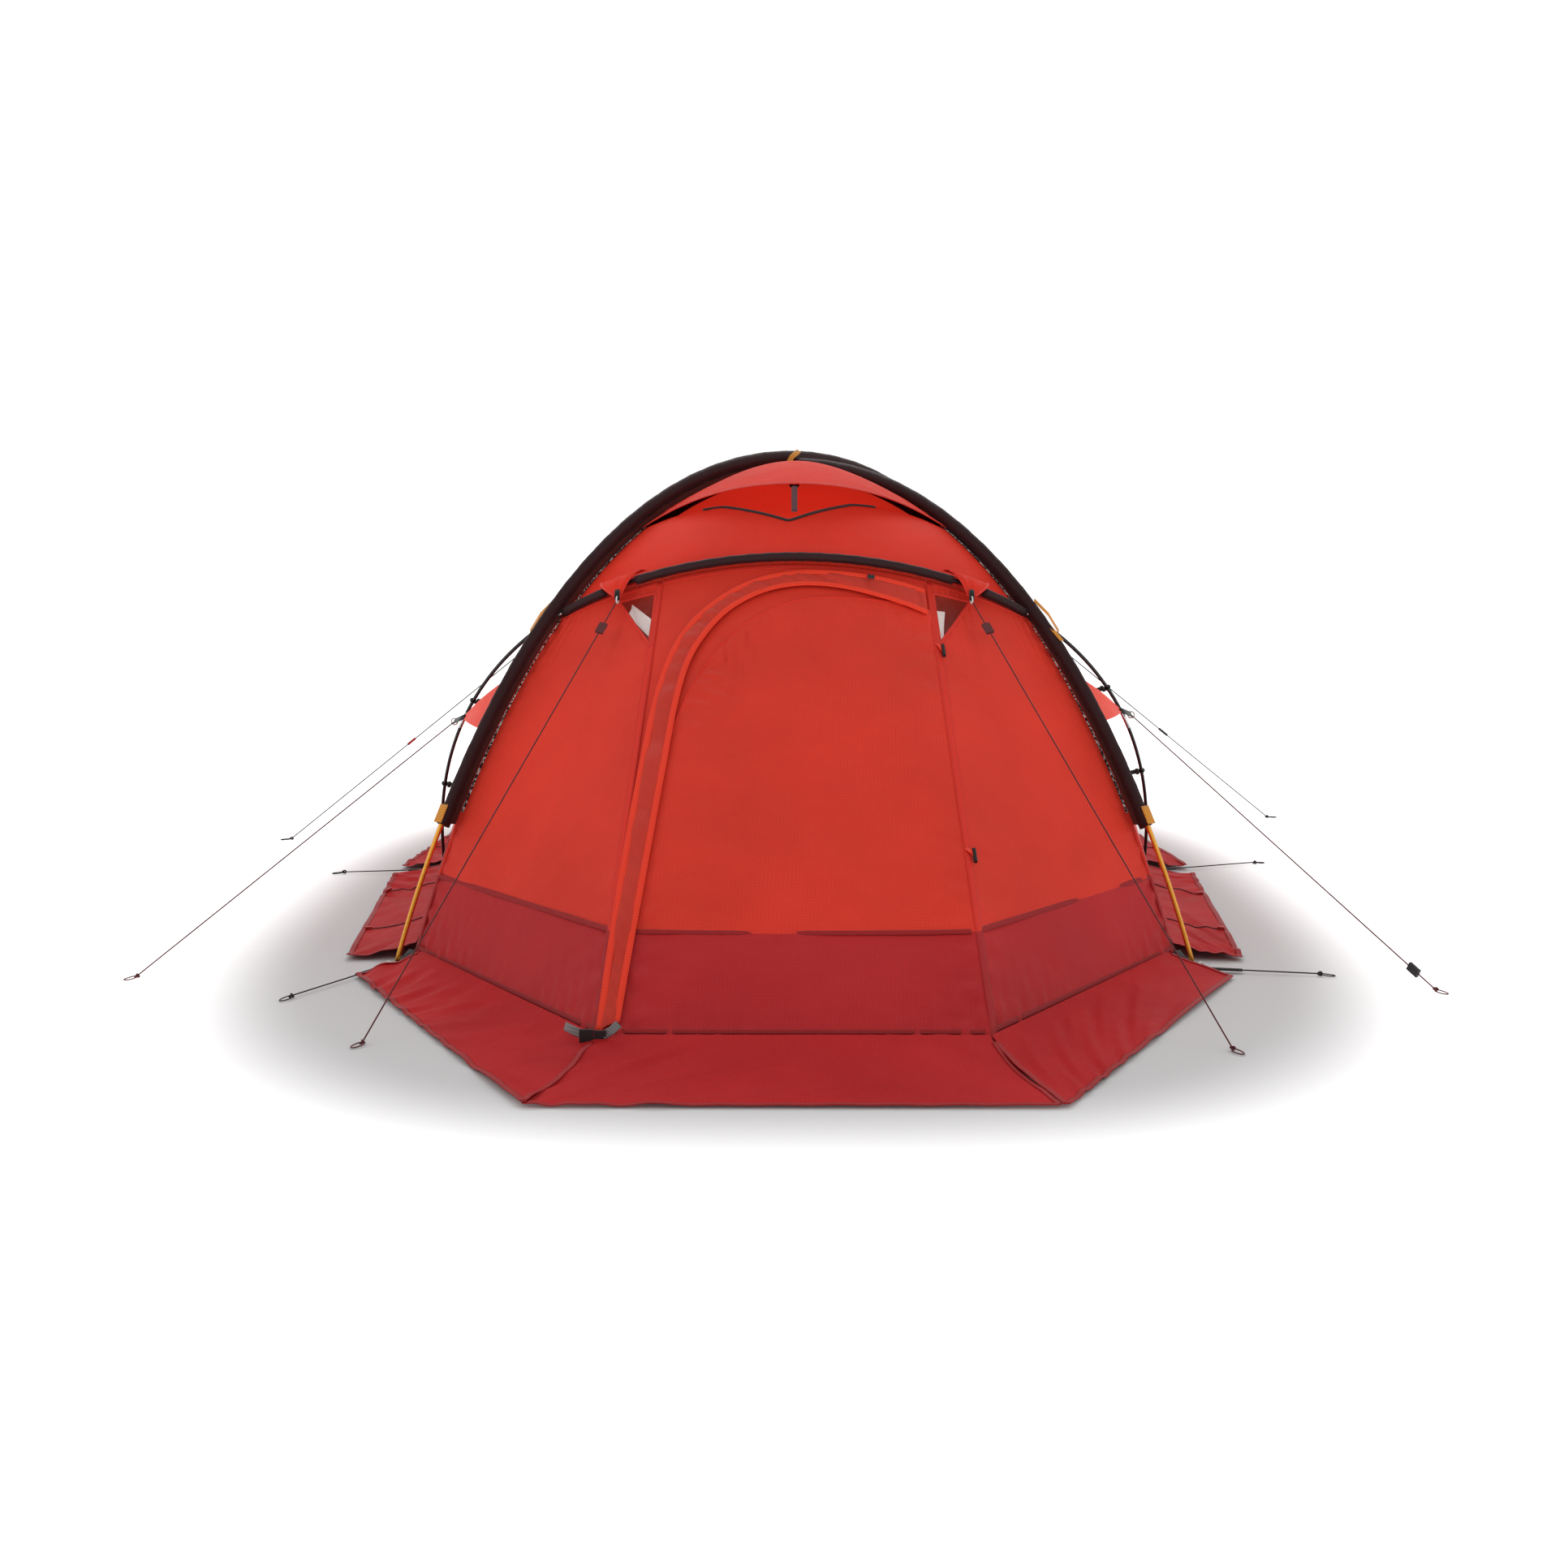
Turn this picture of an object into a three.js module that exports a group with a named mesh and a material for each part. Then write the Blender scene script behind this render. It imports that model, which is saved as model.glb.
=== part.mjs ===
// A pole-supported dome tent for three people: two crossing main poles, a hoop pole at each end,
// a fabric fly in separate panels, a front vestibule with a zipped door, snow skirts, an inner tent,
// and the guy lines that hold it up. Millimetres, +Z up, the door faces -Y, the ground is z = 0.
import * as THREE from 'three';

// Driving dimensions. The tent is drawn about its apex, then moved back so that the origin is
// at the middle of its base.
const MAIN_FOOT_X = 878;
const MAIN_FOOT_Y = 1075;
const APEX_HEIGHT = 1119;
const MAIN_POLE_RADIUS = 5.5;
const HOOP_FOOT_X = 954;
const HOOP_REACH = 1201;
const HOOP_LEAN = THREE.MathUtils.degToRad(42.1);
const HOOP_POLE_RADIUS = 4.5;
const POLE_END_HEIGHT = 12;
const CROSSING_LIFT = 10;
const MAIN_SHELL_INSET = 32;
const HOOP_SHELL_INSET = 16;
const VESTIBULE_X = 370;
const VESTIBULE_Y = 1745;
const HEM_HEIGHT = 8;
const FABRIC = 2;
const SKIRT_THICKNESS = 3;
const SKIRT_WIDTH = 142;
const FRONT_SKIRT_WIDTH = 311;
const SKIRT_SEAM_GAP = 5;
const CORD_RADIUS = 1.5;
const FRONT_REACH = VESTIBULE_Y + SKIRT_SEAM_GAP + FRONT_SKIRT_WIDTH;
const REAR_REACH = MAIN_FOOT_Y - MAIN_SHELL_INSET + SKIRT_SEAM_GAP + SKIRT_WIDTH;
const BASE_CENTRE_Y = (FRONT_REACH - REAR_REACH) / 2;

const vec = (x, y, z) => new THREE.Vector3(x, y, z);
const mix = (a, b, t) => a.clone().lerp(b, t);

// ---------------------------------------------------------------- materials

const material = (color, roughness, metalness = 0) => (
  new THREE.MeshStandardMaterial({ color, roughness, metalness })
);
const shellCloth = material(0xc8412f, 0.75);
const bandCloth = material(0xa3303a, 0.75);
const sleeveCloth = material(0x33151a, 0.65);
const flapCloth = material(0xb02f2a, 0.7);
const innerCloth = material(0xe8e2d8, 0.85);
const floorCloth = material(0x4a2024, 0.7);
const clearFilm = material(0x6e2a22, 0.2);
const goldAlloy = material(0xc8932c, 0.3, 1);
const blackAlloy = material(0x222224, 0.35, 1);
const blackPlastic = material(0x18181a, 0.5);
const webbing = material(0x1d1b1c, 0.85);
const cordBraid = material(0x3a1416, 0.8);

const tent = new THREE.Group();
tent.position.y = BASE_CENTRE_Y;

function add(name, geometry, meshMaterial) {
  const mesh = new THREE.Mesh(geometry, meshMaterial);
  mesh.name = name;
  tent.add(mesh);
  return mesh;
}

// ---------------------------------------------------------------- poles

// Half of a main arch, from a corner foot up to the apex. sideX and sideY are -1 or 1.
function mainHalf(sideX, sideY, inset = 0, lift = 0) {
  const x = sideX * (MAIN_FOOT_X - inset);
  const y = sideY * (MAIN_FOOT_Y - inset);
  const top = APEX_HEIGHT - inset + lift;
  return new THREE.CubicBezierCurve3(
    vec(x, y, 0),
    vec(x * 0.869, y * 0.869, 459),
    vec(x * 0.572, y * 0.572, top),
    vec(0, 0, top),
  );
}

// Half of a hoop, from a side foot up to its middle. The hoop leans away from the tent's middle,
// by HOOP_LEAN from the vertical.
function hoopHalf(sideX, sideY, inset = 0) {
  const footX = HOOP_FOOT_X - inset;
  const reach = HOOP_REACH - inset;
  const point = (x, slant) => vec(
    sideX * x,
    sideY * slant * Math.sin(HOOP_LEAN),
    slant * Math.cos(HOOP_LEAN) - inset * 0.5,
  );
  return new THREE.CubicBezierCurve3(
    point(footX, 0),
    point(footX - 51, reach * 0.904),
    point(footX * 0.27, reach),
    point(0, reach),
  );
}

// A whole arch as one curve: up the first half, then down the second.
class Arch extends THREE.Curve {
  constructor(first, second, start = 0, end = 1) {
    super();
    this.first = first;
    this.second = second;
    this.start = start;
    this.end = end;
  }

  getPoint(t, target = new THREE.Vector3()) {
    const along = 2 * THREE.MathUtils.lerp(this.start, this.end, t);
    const point = along <= 1 ? this.first.getPoint(along) : this.second.getPoint(2 - along);
    return target.copy(point);
  }
}

function regularSection(radius, sides) {
  const outline = new THREE.Shape();
  for (let i = 0; i < sides; i += 1) {
    const angle = (i / sides) * Math.PI * 2;
    const place = [radius * Math.cos(angle), radius * Math.sin(angle)];
    if (i === 0) {
      outline.moveTo(...place);
    } else {
      outline.lineTo(...place);
    }
  }
  outline.closePath();
  return outline;
}

function rod(path, radius, steps, sides = 8) {
  return new THREE.ExtrudeGeometry(regularSection(radius, sides), {
    extrudePath: path,
    steps,
    bevelEnabled: false,
  });
}

const POLE_STEPS = 36;
const MAIN_TRIM = POLE_END_HEIGHT / (3 * 459) / 2;
const HOOP_TRIM = POLE_END_HEIGHT / (3 * HOOP_REACH * 0.9 * Math.cos(HOOP_LEAN)) / 2;
const mainArch = (sideX, lift) => new Arch(
  mainHalf(sideX, -1, 0, lift),
  mainHalf(-sideX, 1, 0, lift),
  MAIN_TRIM,
  1 - MAIN_TRIM,
);
const hoopArch = (sideY) => new Arch(hoopHalf(-1, sideY), hoopHalf(1, sideY), HOOP_TRIM, 1 - HOOP_TRIM);
const mainPathA = mainArch(-1, CROSSING_LIFT);
const mainPathB = mainArch(1, -CROSSING_LIFT);
const hoopPathFront = hoopArch(-1);
const hoopPathRear = hoopArch(1);

add('main_pole_a', rod(mainPathA, MAIN_POLE_RADIUS, POLE_STEPS), goldAlloy);
add('main_pole_b', rod(mainPathB, MAIN_POLE_RADIUS, POLE_STEPS), goldAlloy);
add('hoop_pole_front', rod(hoopPathFront, HOOP_POLE_RADIUS, POLE_STEPS), blackAlloy);
add('hoop_pole_rear', rod(hoopPathRear, HOOP_POLE_RADIUS, POLE_STEPS), blackAlloy);

// ---------------------------------------------------------------- sleeves

// A flattened fabric tube round a pole, between two of the pole's own stations.
// side is the constant normal of the arch's plane.
function sleeve(path, side, first, last, halfWidth, halfHeight, bore) {
  const steps = last - first;
  const profile = [];
  for (let i = 0; i <= steps; i += 1) {
    profile.push(new THREE.Vector2(2, i));
  }
  for (let i = steps; i >= 0; i -= 1) {
    profile.push(new THREE.Vector2(1, i));
  }
  profile.push(new THREE.Vector2(2, 0));
  const geometry = new THREE.LatheGeometry(profile, 10);
  const positions = geometry.attributes.position;
  const vertex = new THREE.Vector3();
  const across = side.clone().normalize();
  for (let i = 0; i < positions.count; i += 1) {
    vertex.fromBufferAttribute(positions, i);
    const outer = Math.hypot(vertex.x, vertex.z) > 1.5;
    const angle = Math.atan2(vertex.z, vertex.x);
    const share = (first + vertex.y) / POLE_STEPS;
    const up = across.clone().cross(path.getTangentAt(share)).normalize();
    const wide = outer ? halfWidth : bore;
    const high = outer ? halfHeight : bore;
    const place = path.getPointAt(share);
    place.addScaledVector(across, wide * Math.cos(angle));
    place.addScaledVector(up, high * Math.sin(angle));
    positions.setXYZ(i, place.x, place.y, place.z);
  }
  return geometry;
}

const SLEEVE_HALF_WIDTH = 16;
const SLEEVE_HALF_HEIGHT = 8;
const HOOP_SLEEVE_HALF = 7;
const SLEEVE_PLAY = 0.6;
const MAIN_SLEEVE_END = 3;
const HOOP_SLEEVE_END = 14;
const mainSide = (sideX) => vec(MAIN_FOOT_Y, sideX * MAIN_FOOT_X, 0);
const hoopSide = vec(0, Math.cos(HOOP_LEAN), Math.sin(HOOP_LEAN));

const mainSleeve = (sideX, path) => sleeve(
  path,
  mainSide(sideX),
  MAIN_SLEEVE_END,
  POLE_STEPS - MAIN_SLEEVE_END,
  SLEEVE_HALF_WIDTH,
  SLEEVE_HALF_HEIGHT,
  MAIN_POLE_RADIUS + SLEEVE_PLAY,
);
add('main_sleeve_a', mainSleeve(-1, mainPathA), sleeveCloth);
add('main_sleeve_b', mainSleeve(1, mainPathB), sleeveCloth);
add('hoop_sleeve_front', sleeve(
  hoopPathFront,
  hoopSide,
  HOOP_SLEEVE_END,
  POLE_STEPS - HOOP_SLEEVE_END,
  HOOP_SLEEVE_HALF,
  HOOP_SLEEVE_HALF,
  HOOP_POLE_RADIUS + SLEEVE_PLAY,
), shellCloth);

// ---------------------------------------------------------------- curved panels

// A surface is a function of (u, v). Seen from outside, u runs to the right and v runs up.
function coons(bottom, top, left, right) {
  return (u, v) => {
    const point = mix(bottom(u), top(u), v).add(mix(left(v), right(v), u));
    const low = mix(bottom(0), bottom(1), u);
    const high = mix(top(0), top(1), u);
    return point.sub(mix(low, high, v));
  };
}

const line = (from, to) => (t) => mix(from, to, t);
const stretch = (curve, from, to) => (t) => curve.getPoint(THREE.MathUtils.lerp(from, to, t));
const mirrorX = (surface) => (u, v) => surface(1 - u, v).multiply(vec(-1, 1, 1));
const mirrorY = (surface) => (u, v) => surface(1 - u, v).multiply(vec(1, -1, 1));
const scaled = (surface, factor) => (u, v) => surface(u, v).multiplyScalar(factor);

// Bends a unit block onto the surface. The block's z becomes the cloth's thickness.
function warp(geometry, surface, offset, thickness) {
  const positions = geometry.attributes.position;
  const vertex = new THREE.Vector3();
  const step = 0.004;
  for (let i = 0; i < positions.count; i += 1) {
    vertex.fromBufferAttribute(positions, i);
    const u = vertex.x;
    const v = vertex.y;
    const alongU = surface(u + step, v).sub(surface(u - step, v));
    const alongV = surface(u, v + step).sub(surface(u, v - step));
    const normal = alongU.cross(alongV).normalize();
    const place = surface(u, v).addScaledVector(normal, offset + vertex.z * thickness);
    positions.setXYZ(i, place.x, place.y, place.z);
  }
  return geometry;
}

// A box splits the squares of its back face the other way from those of its front face. This turns
// the back ones round, so that the two sides of the cloth stay parallel where it is twisted.
function matchDiagonals(block) {
  const { index, groups } = block;
  const back = groups[5];
  for (let i = back.start; i < back.start + back.count; i += 6) {
    const [a, c, d] = [index.getX(i), index.getX(i + 4), index.getX(i + 5)];
    index.setX(i + 2, c);
    index.setX(i + 3, a);
    index.setX(i + 4, c);
    index.setX(i + 5, d);
  }
  return block;
}

function panel(surface, options = {}) {
  const { u = [0, 1], v = [0, 1], nu = 6, nv = 6, offset = 0, thickness = FABRIC } = options;
  const block = matchDiagonals(new THREE.BoxGeometry(1, 1, 1, nu, nv, 1));
  block.translate(0.5, 0.5, 0.5);
  block.scale(u[1] - u[0], v[1] - v[0], 1);
  block.translate(u[0], v[0], 0);
  return warp(block, surface, offset, thickness);
}

// Where a main arch passes closest to a hoop, as a share of each half arch.
function crossing() {
  const main = mainHalf(-1, -1, MAIN_SHELL_INSET);
  const hoop = hoopHalf(-1, -1, HOOP_SHELL_INSET);
  let best = { distance: Infinity, main: 0, hoop: 0 };
  const samples = 200;
  for (let i = 0; i <= samples; i += 1) {
    for (let j = 0; j <= samples; j += 1) {
      const distance = main.getPoint(i / samples).distanceTo(hoop.getPoint(j / samples));
      if (distance < best.distance) {
        best = { distance, main: i / samples, hoop: j / samples };
      }
    }
  }
  return best;
}

const CROSS = crossing();
const RIDGE_ON_HOOP = 0.7;
const hoopShell = (sideX, sideY) => hoopHalf(sideX, sideY, HOOP_SHELL_INSET);
const mainShell = (sideX, sideY) => mainHalf(sideX, sideY, MAIN_SHELL_INSET);
const onGround = (curve) => curve.getPoint(0).setZ(HEM_HEIGHT);
const HEM_ON_MAIN = HEM_HEIGHT / (3 * 459);
const HEM_ON_HOOP = 0.004;
const EDGE = 0.006;

// The hoop between two places given from -1 (left foot) to 1 (right foot).
function hoopSpan(sideY, from, to) {
  return (t) => {
    const place = THREE.MathUtils.lerp(from, to, t);
    const half = hoopShell(Math.sign(place) || 1, sideY);
    return half.getPoint(1 - Math.abs(place));
  };
}

const roofFront = coons(
  hoopSpan(-1, CROSS.hoop - 1, 1 - CROSS.hoop),
  line(mainShell(-1, -1).getPoint(0.99), mainShell(1, -1).getPoint(0.99)),
  stretch(mainShell(-1, -1), CROSS.main, 0.99),
  stretch(mainShell(1, -1), CROSS.main, 0.99),
);
const roofLeft = coons(
  stretch(hoopShell(-1, -1), HEM_ON_HOOP, CROSS.hoop),
  stretch(mainShell(-1, 1), CROSS.main, 1),
  stretch(hoopShell(-1, 1), HEM_ON_HOOP, CROSS.hoop),
  stretch(mainShell(-1, -1), CROSS.main, 1),
);
const roofRight = (u, v) => roofLeft(v, u).multiply(vec(-1, 1, 1));
const SHORT_OF_CROSSING = 0.96;
const sideFrontLeft = coons(
  line(onGround(hoopShell(-1, -1)), onGround(mainShell(-1, -1))),
  line(
    hoopShell(-1, -1).getPoint(CROSS.hoop * SHORT_OF_CROSSING),
    mainShell(-1, -1).getPoint(CROSS.main * SHORT_OF_CROSSING),
  ),
  stretch(hoopShell(-1, -1), HEM_ON_HOOP, CROSS.hoop * SHORT_OF_CROSSING),
  stretch(mainShell(-1, -1), HEM_ON_MAIN, CROSS.main * SHORT_OF_CROSSING),
);
const rearWall = coons(
  line(onGround(mainShell(1, 1)), onGround(mainShell(-1, 1))),
  hoopSpan(1, 1 - CROSS.hoop, CROSS.hoop - 1),
  stretch(mainShell(1, 1), HEM_ON_MAIN, CROSS.main),
  stretch(mainShell(-1, 1), HEM_ON_MAIN, CROSS.main),
);
const cornerLeft = vec(-VESTIBULE_X, -VESTIBULE_Y, HEM_HEIGHT);
const cornerRight = vec(VESTIBULE_X, -VESTIBULE_Y, HEM_HEIGHT);
const ridgeTopLeft = hoopShell(-1, -1).getPoint(RIDGE_ON_HOOP);
const ridgeTopRight = hoopShell(1, -1).getPoint(RIDGE_ON_HOOP);
const vestibuleLeft = coons(
  line(onGround(mainShell(-1, -1)), cornerLeft),
  stretch(hoopShell(-1, -1), CROSS.hoop, RIDGE_ON_HOOP),
  stretch(mainShell(-1, -1), HEM_ON_MAIN, CROSS.main),
  line(cornerLeft, ridgeTopLeft),
);
const vestibuleFront = coons(
  line(cornerLeft, cornerRight),
  hoopSpan(-1, RIDGE_ON_HOOP - 1, 1 - RIDGE_ON_HOOP),
  line(cornerLeft, ridgeTopLeft),
  line(cornerRight, ridgeTopRight),
);

const VENT_EDGE = 0.24;
const ABOVE_HOOP = 0.02;
const whole = { u: [EDGE, 1 - EDGE], v: [EDGE, 1 - EDGE] };
const shellPanel = (name, surface) => add(name, panel(surface, whole), shellCloth);
add('roof_front', panel(roofFront, { u: [EDGE, 1 - EDGE], v: [ABOVE_HOOP, VENT_EDGE] }), shellCloth);
add('roof_rear', panel(mirrorY(roofFront), { u: [EDGE, 1 - EDGE], v: [ABOVE_HOOP, 1 - EDGE] }), shellCloth);
shellPanel('roof_left', roofLeft);
shellPanel('roof_right', roofRight);
shellPanel('side_front_left', sideFrontLeft);
shellPanel('side_front_right', mirrorX(sideFrontLeft));
shellPanel('side_rear_left', mirrorY(sideFrontLeft));
shellPanel('side_rear_right', mirrorX(mirrorY(sideFrontLeft)));
shellPanel('rear_wall', rearWall);
shellPanel('vestibule_left', vestibuleLeft);
shellPanel('vestibule_right', mirrorX(vestibuleLeft));

// ---------------------------------------------------------------- door

// The door fills the front facet up to a rounded top left corner. The zip runs round that edge.
const DOOR_LEFT = 0.05;
const DOOR_TOP = 0.925;
const CORNER_SHARPNESS = 4.2;

// Pulls the unit square's top left corner in, so that its outline becomes a rounded arch.
function roundedCorner(u, v) {
  const a = 1 - u;
  const b = v;
  const reach = Math.max(a, b, 1e-6);
  const size = (a ** CORNER_SHARPNESS + b ** CORNER_SHARPNESS) ** (1 / CORNER_SHARPNESS) || 1;
  const pull = reach / Math.max(size, 1e-6);
  return [1 - a * pull, b * pull];
}

function doorSurface(u, v) {
  const [pulledU, pulledV] = roundedCorner(u, v);
  return vestibuleFront(THREE.MathUtils.lerp(DOOR_LEFT, 1, pulledU), pulledV * DOOR_TOP);
}

// Distance along the zip from the bottom left (0) to the top right (1), and outward from the door.
function zipSurface(along, out) {
  const u = along < 0.5 ? 0 : (along - 0.5) * 2;
  const v = along < 0.5 ? along * 2 : 1;
  const [doorU, doorV] = roundedCorner(u, v);
  const inner = [THREE.MathUtils.lerp(DOOR_LEFT, 1, doorU), doorV * DOOR_TOP];
  const outer = [u * (1 - EDGE) + EDGE, v * (1 - EDGE)];
  return vestibuleFront(
    THREE.MathUtils.lerp(inner[0], outer[0], out),
    THREE.MathUtils.lerp(inner[1], outer[1], out),
  );
}

const DOOR_LIFT = 3;
add('door_panel', panel(doorSurface, {
  u: [0, 0.992], v: [0.004, 1], nu: 8, nv: 8, offset: DOOR_LIFT,
}), shellCloth);
add('door_surround', panel(zipSurface, {
  u: [0.01, 0.985], v: [0.06, 0.98], nu: 24, nv: 2,
}), shellCloth);

// The storm flap covers the zip. It is sewn along the door's own edge.
const FLAP_LIFT = 9;
add('door_flap', panel(zipSurface, {
  u: [0.015, 0.96], v: [-0.75, 0.55], nu: 24, nv: 2, offset: FLAP_LIFT,
}), flapCloth);

// ---------------------------------------------------------------- windows, vent hood and prop

const windowLeft = (u, v) => vestibuleLeft(0.6 + 0.34 * u, 0.965 - 0.13 * (1 - v) * (0.25 + 0.75 * u));
add('window_left', panel(windowLeft, { nu: 4, nv: 2, offset: 3.5, thickness: 1 }), clearFilm);
add('window_right', panel(mirrorX(windowLeft), { nu: 4, nv: 2, offset: 3.5, thickness: 1 }), clearFilm);

const HOOD_FRONT = 0.31;
const HOOD_TOP = 0.92;
const HOOD_GAP_TOP = 14;
const HOOD_GAP_FRONT = 56;
function hoodSurface(u, v) {
  const place = roofFront(u, v);
  const open = (1 - v) / (1 - HOOD_FRONT);
  const rise = HOOD_GAP_TOP + (HOOD_GAP_FRONT - HOOD_GAP_TOP) * open * Math.sin(Math.PI * u);
  return place.add(vec(0, -rise * 0.4, rise * 0.9));
}
add('vent_hood', panel(hoodSurface, { u: [0.1, 0.9], v: [HOOD_FRONT, HOOD_TOP], nu: 8, nv: 4 }), shellCloth);

// The prop stands on the roof panel's upper edge and holds the hood's front edge up.
const PROP_RADIUS = 4;
const PROP_HEAD_GAP = 10;
const PROP_FOOT_GAP = 20;
const propBase = roofFront(0.5, 0.23);
const propTop = hoodSurface(0.5, 0.325);
const propAlong = propTop.clone().sub(propBase).normalize();
const propFoot = propBase.clone().addScaledVector(propAlong, PROP_FOOT_GAP);
const propHead = propTop.clone().addScaledVector(propAlong, -PROP_HEAD_GAP);
add('vent_prop', rod(new THREE.LineCurve3(propFoot, propHead), PROP_RADIUS, 1), blackPlastic);

// ---------------------------------------------------------------- inner tent

const INNER_SCALE = 0.945;
const INNER_LIFT = 6;
const innerRib = (sideX, sideY) => stretch(mainShell(sideX, sideY), 0.01, 0.985);
function innerWall(left, right) {
  const wall = coons(line(left(0), right(0)), line(left(1), right(1)), left, right);
  return (u, v) => scaled(wall, INNER_SCALE)(u, v).add(vec(0, 0, INNER_LIFT));
}
const innerRegion = { u: [0.01, 0.99], v: [0, 0.97], nu: 2, nv: 8 };
const innerPanels = {
  inner_front: innerWall(innerRib(-1, -1), innerRib(1, -1)),
  inner_right: innerWall(innerRib(1, -1), innerRib(1, 1)),
  inner_rear: innerWall(innerRib(1, 1), innerRib(-1, 1)),
  inner_left: innerWall(innerRib(-1, 1), innerRib(-1, -1)),
};
for (const [name, surface] of Object.entries(innerPanels)) {
  add(name, panel(surface, innerRegion), innerCloth);
}

// The groundsheet is a six-sided sheet between the four main feet and the two hoop feet.
const FLOOR_SCALE = 0.94;
const floorOutline = new THREE.Shape([
  [-MAIN_FOOT_X, -MAIN_FOOT_Y],
  [MAIN_FOOT_X, -MAIN_FOOT_Y],
  [HOOP_FOOT_X, 0],
  [MAIN_FOOT_X, MAIN_FOOT_Y],
  [-MAIN_FOOT_X, MAIN_FOOT_Y],
  [-HOOP_FOOT_X, 0],
].map(([x, y]) => new THREE.Vector2(x * FLOOR_SCALE, y * FLOOR_SCALE)));
const FLOOR_THICKNESS = 4;
add('groundsheet', new THREE.ExtrudeGeometry(floorOutline, {
  depth: FLOOR_THICKNESS,
  bevelEnabled: false,
}), floorCloth);

// ---------------------------------------------------------------- snow skirts

// A flap lying on the ground, from a seam on the wall's hem out to its own outer edge.
function skirt(seamFrom, seamTo, outFrom, outTo) {
  const surface = coons(
    line(outFrom, outTo),
    line(seamFrom, seamTo),
    line(outFrom, seamFrom),
    line(outTo, seamTo),
  );
  return panel(surface, { nu: 2, nv: 1, thickness: SKIRT_THICKNESS });
}

const FOOT_CLEARANCE = 48;
const SPLIT = 4;

// Moves a seam outward by the seam gap, and shortens it at both ends.
function seamLine(from, to, trimFrom, trimTo) {
  const along = to.clone().sub(from).normalize();
  const out = vec(along.y, -along.x, 0);
  const start = from.clone().addScaledVector(along, trimFrom).addScaledVector(out, SKIRT_SEAM_GAP);
  const end = to.clone().addScaledVector(along, -trimTo).addScaledVector(out, SKIRT_SEAM_GAP);
  return { start, end, along, out };
}

function sideSkirt(from, to, trimFrom, trimTo) {
  const seam = seamLine(from, to, trimFrom, trimTo);
  const outStart = seam.start.clone().addScaledVector(seam.out, SKIRT_WIDTH);
  const outEnd = seam.end.clone().addScaledVector(seam.out, SKIRT_WIDTH);
  return skirt(seam.start, seam.end, outStart, outEnd);
}

const ground = (x, y) => vec(x, y, 0);
const shellFoot = (sideX, sideY) => ground(
  sideX * (MAIN_FOOT_X - MAIN_SHELL_INSET),
  sideY * (MAIN_FOOT_Y - MAIN_SHELL_INSET),
);
const hoopFoot = (sideX) => ground(sideX * (HOOP_FOOT_X - HOOP_SHELL_INSET), 0);
const HOOP_CLEARANCE = 40;
add('skirt_left_front', sideSkirt(hoopFoot(-1), shellFoot(-1, -1), HOOP_CLEARANCE, FOOT_CLEARANCE), bandCloth);
add('skirt_right_front', sideSkirt(shellFoot(1, -1), hoopFoot(1), FOOT_CLEARANCE, HOOP_CLEARANCE), bandCloth);
add('skirt_right_rear', sideSkirt(hoopFoot(1), shellFoot(1, 1), HOOP_CLEARANCE, FOOT_CLEARANCE), bandCloth);
add('skirt_left_rear', sideSkirt(shellFoot(-1, 1), hoopFoot(-1), FOOT_CLEARANCE, HOOP_CLEARANCE), bandCloth);
add('skirt_rear', sideSkirt(shellFoot(1, 1), shellFoot(-1, 1), FOOT_CLEARANCE, FOOT_CLEARANCE), bandCloth);

const skirtCorner = ground(-465, -FRONT_REACH);
const vestibuleSeam = seamLine(shellFoot(-1, -1), ground(-VESTIBULE_X, -VESTIBULE_Y), FOOT_CLEARANCE, SPLIT);
const vestibuleOut = vestibuleSeam.start.clone().addScaledVector(vestibuleSeam.out, SKIRT_WIDTH);
add('skirt_front_left', skirt(vestibuleSeam.start, vestibuleSeam.end, vestibuleOut, skirtCorner), bandCloth);
const mirrored = (point) => point.clone().multiply(vec(-1, 1, 1));
add('skirt_front_right', skirt(
  mirrored(vestibuleSeam.end),
  mirrored(vestibuleSeam.start),
  mirrored(skirtCorner),
  mirrored(vestibuleOut),
), bandCloth);

const doorSeam = seamLine(ground(-VESTIBULE_X, -VESTIBULE_Y), ground(VESTIBULE_X, -VESTIBULE_Y), SPLIT, SPLIT);
add('skirt_front', skirt(
  doorSeam.start,
  doorSeam.end,
  skirtCorner.clone().add(vec(SPLIT * 3, 0, 0)),
  mirrored(skirtCorner).add(vec(-SPLIT * 3, 0, 0)),
), bandCloth);

// ---------------------------------------------------------------- guy lines and tensioners

// A block that slides on a line, with a hole for it.
function tensioner(from, to, share) {
  const along = to.clone().sub(from).normalize();
  const middle = mix(from, to, share);
  const outline = new THREE.Shape();
  outline.moveTo(-9, -3.5);
  outline.lineTo(9, -3.5);
  outline.lineTo(9, 3.5);
  outline.lineTo(-9, 3.5);
  outline.closePath();
  outline.holes.push(regularSection(CORD_RADIUS + 0.5, 8));
  const length = 30;
  const path = new THREE.LineCurve3(
    middle.clone().addScaledVector(along, -length / 2),
    middle.clone().addScaledVector(along, length / 2),
  );
  return new THREE.ExtrudeGeometry(outline, { extrudePath: path, steps: 1, bevelEnabled: false });
}

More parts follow.
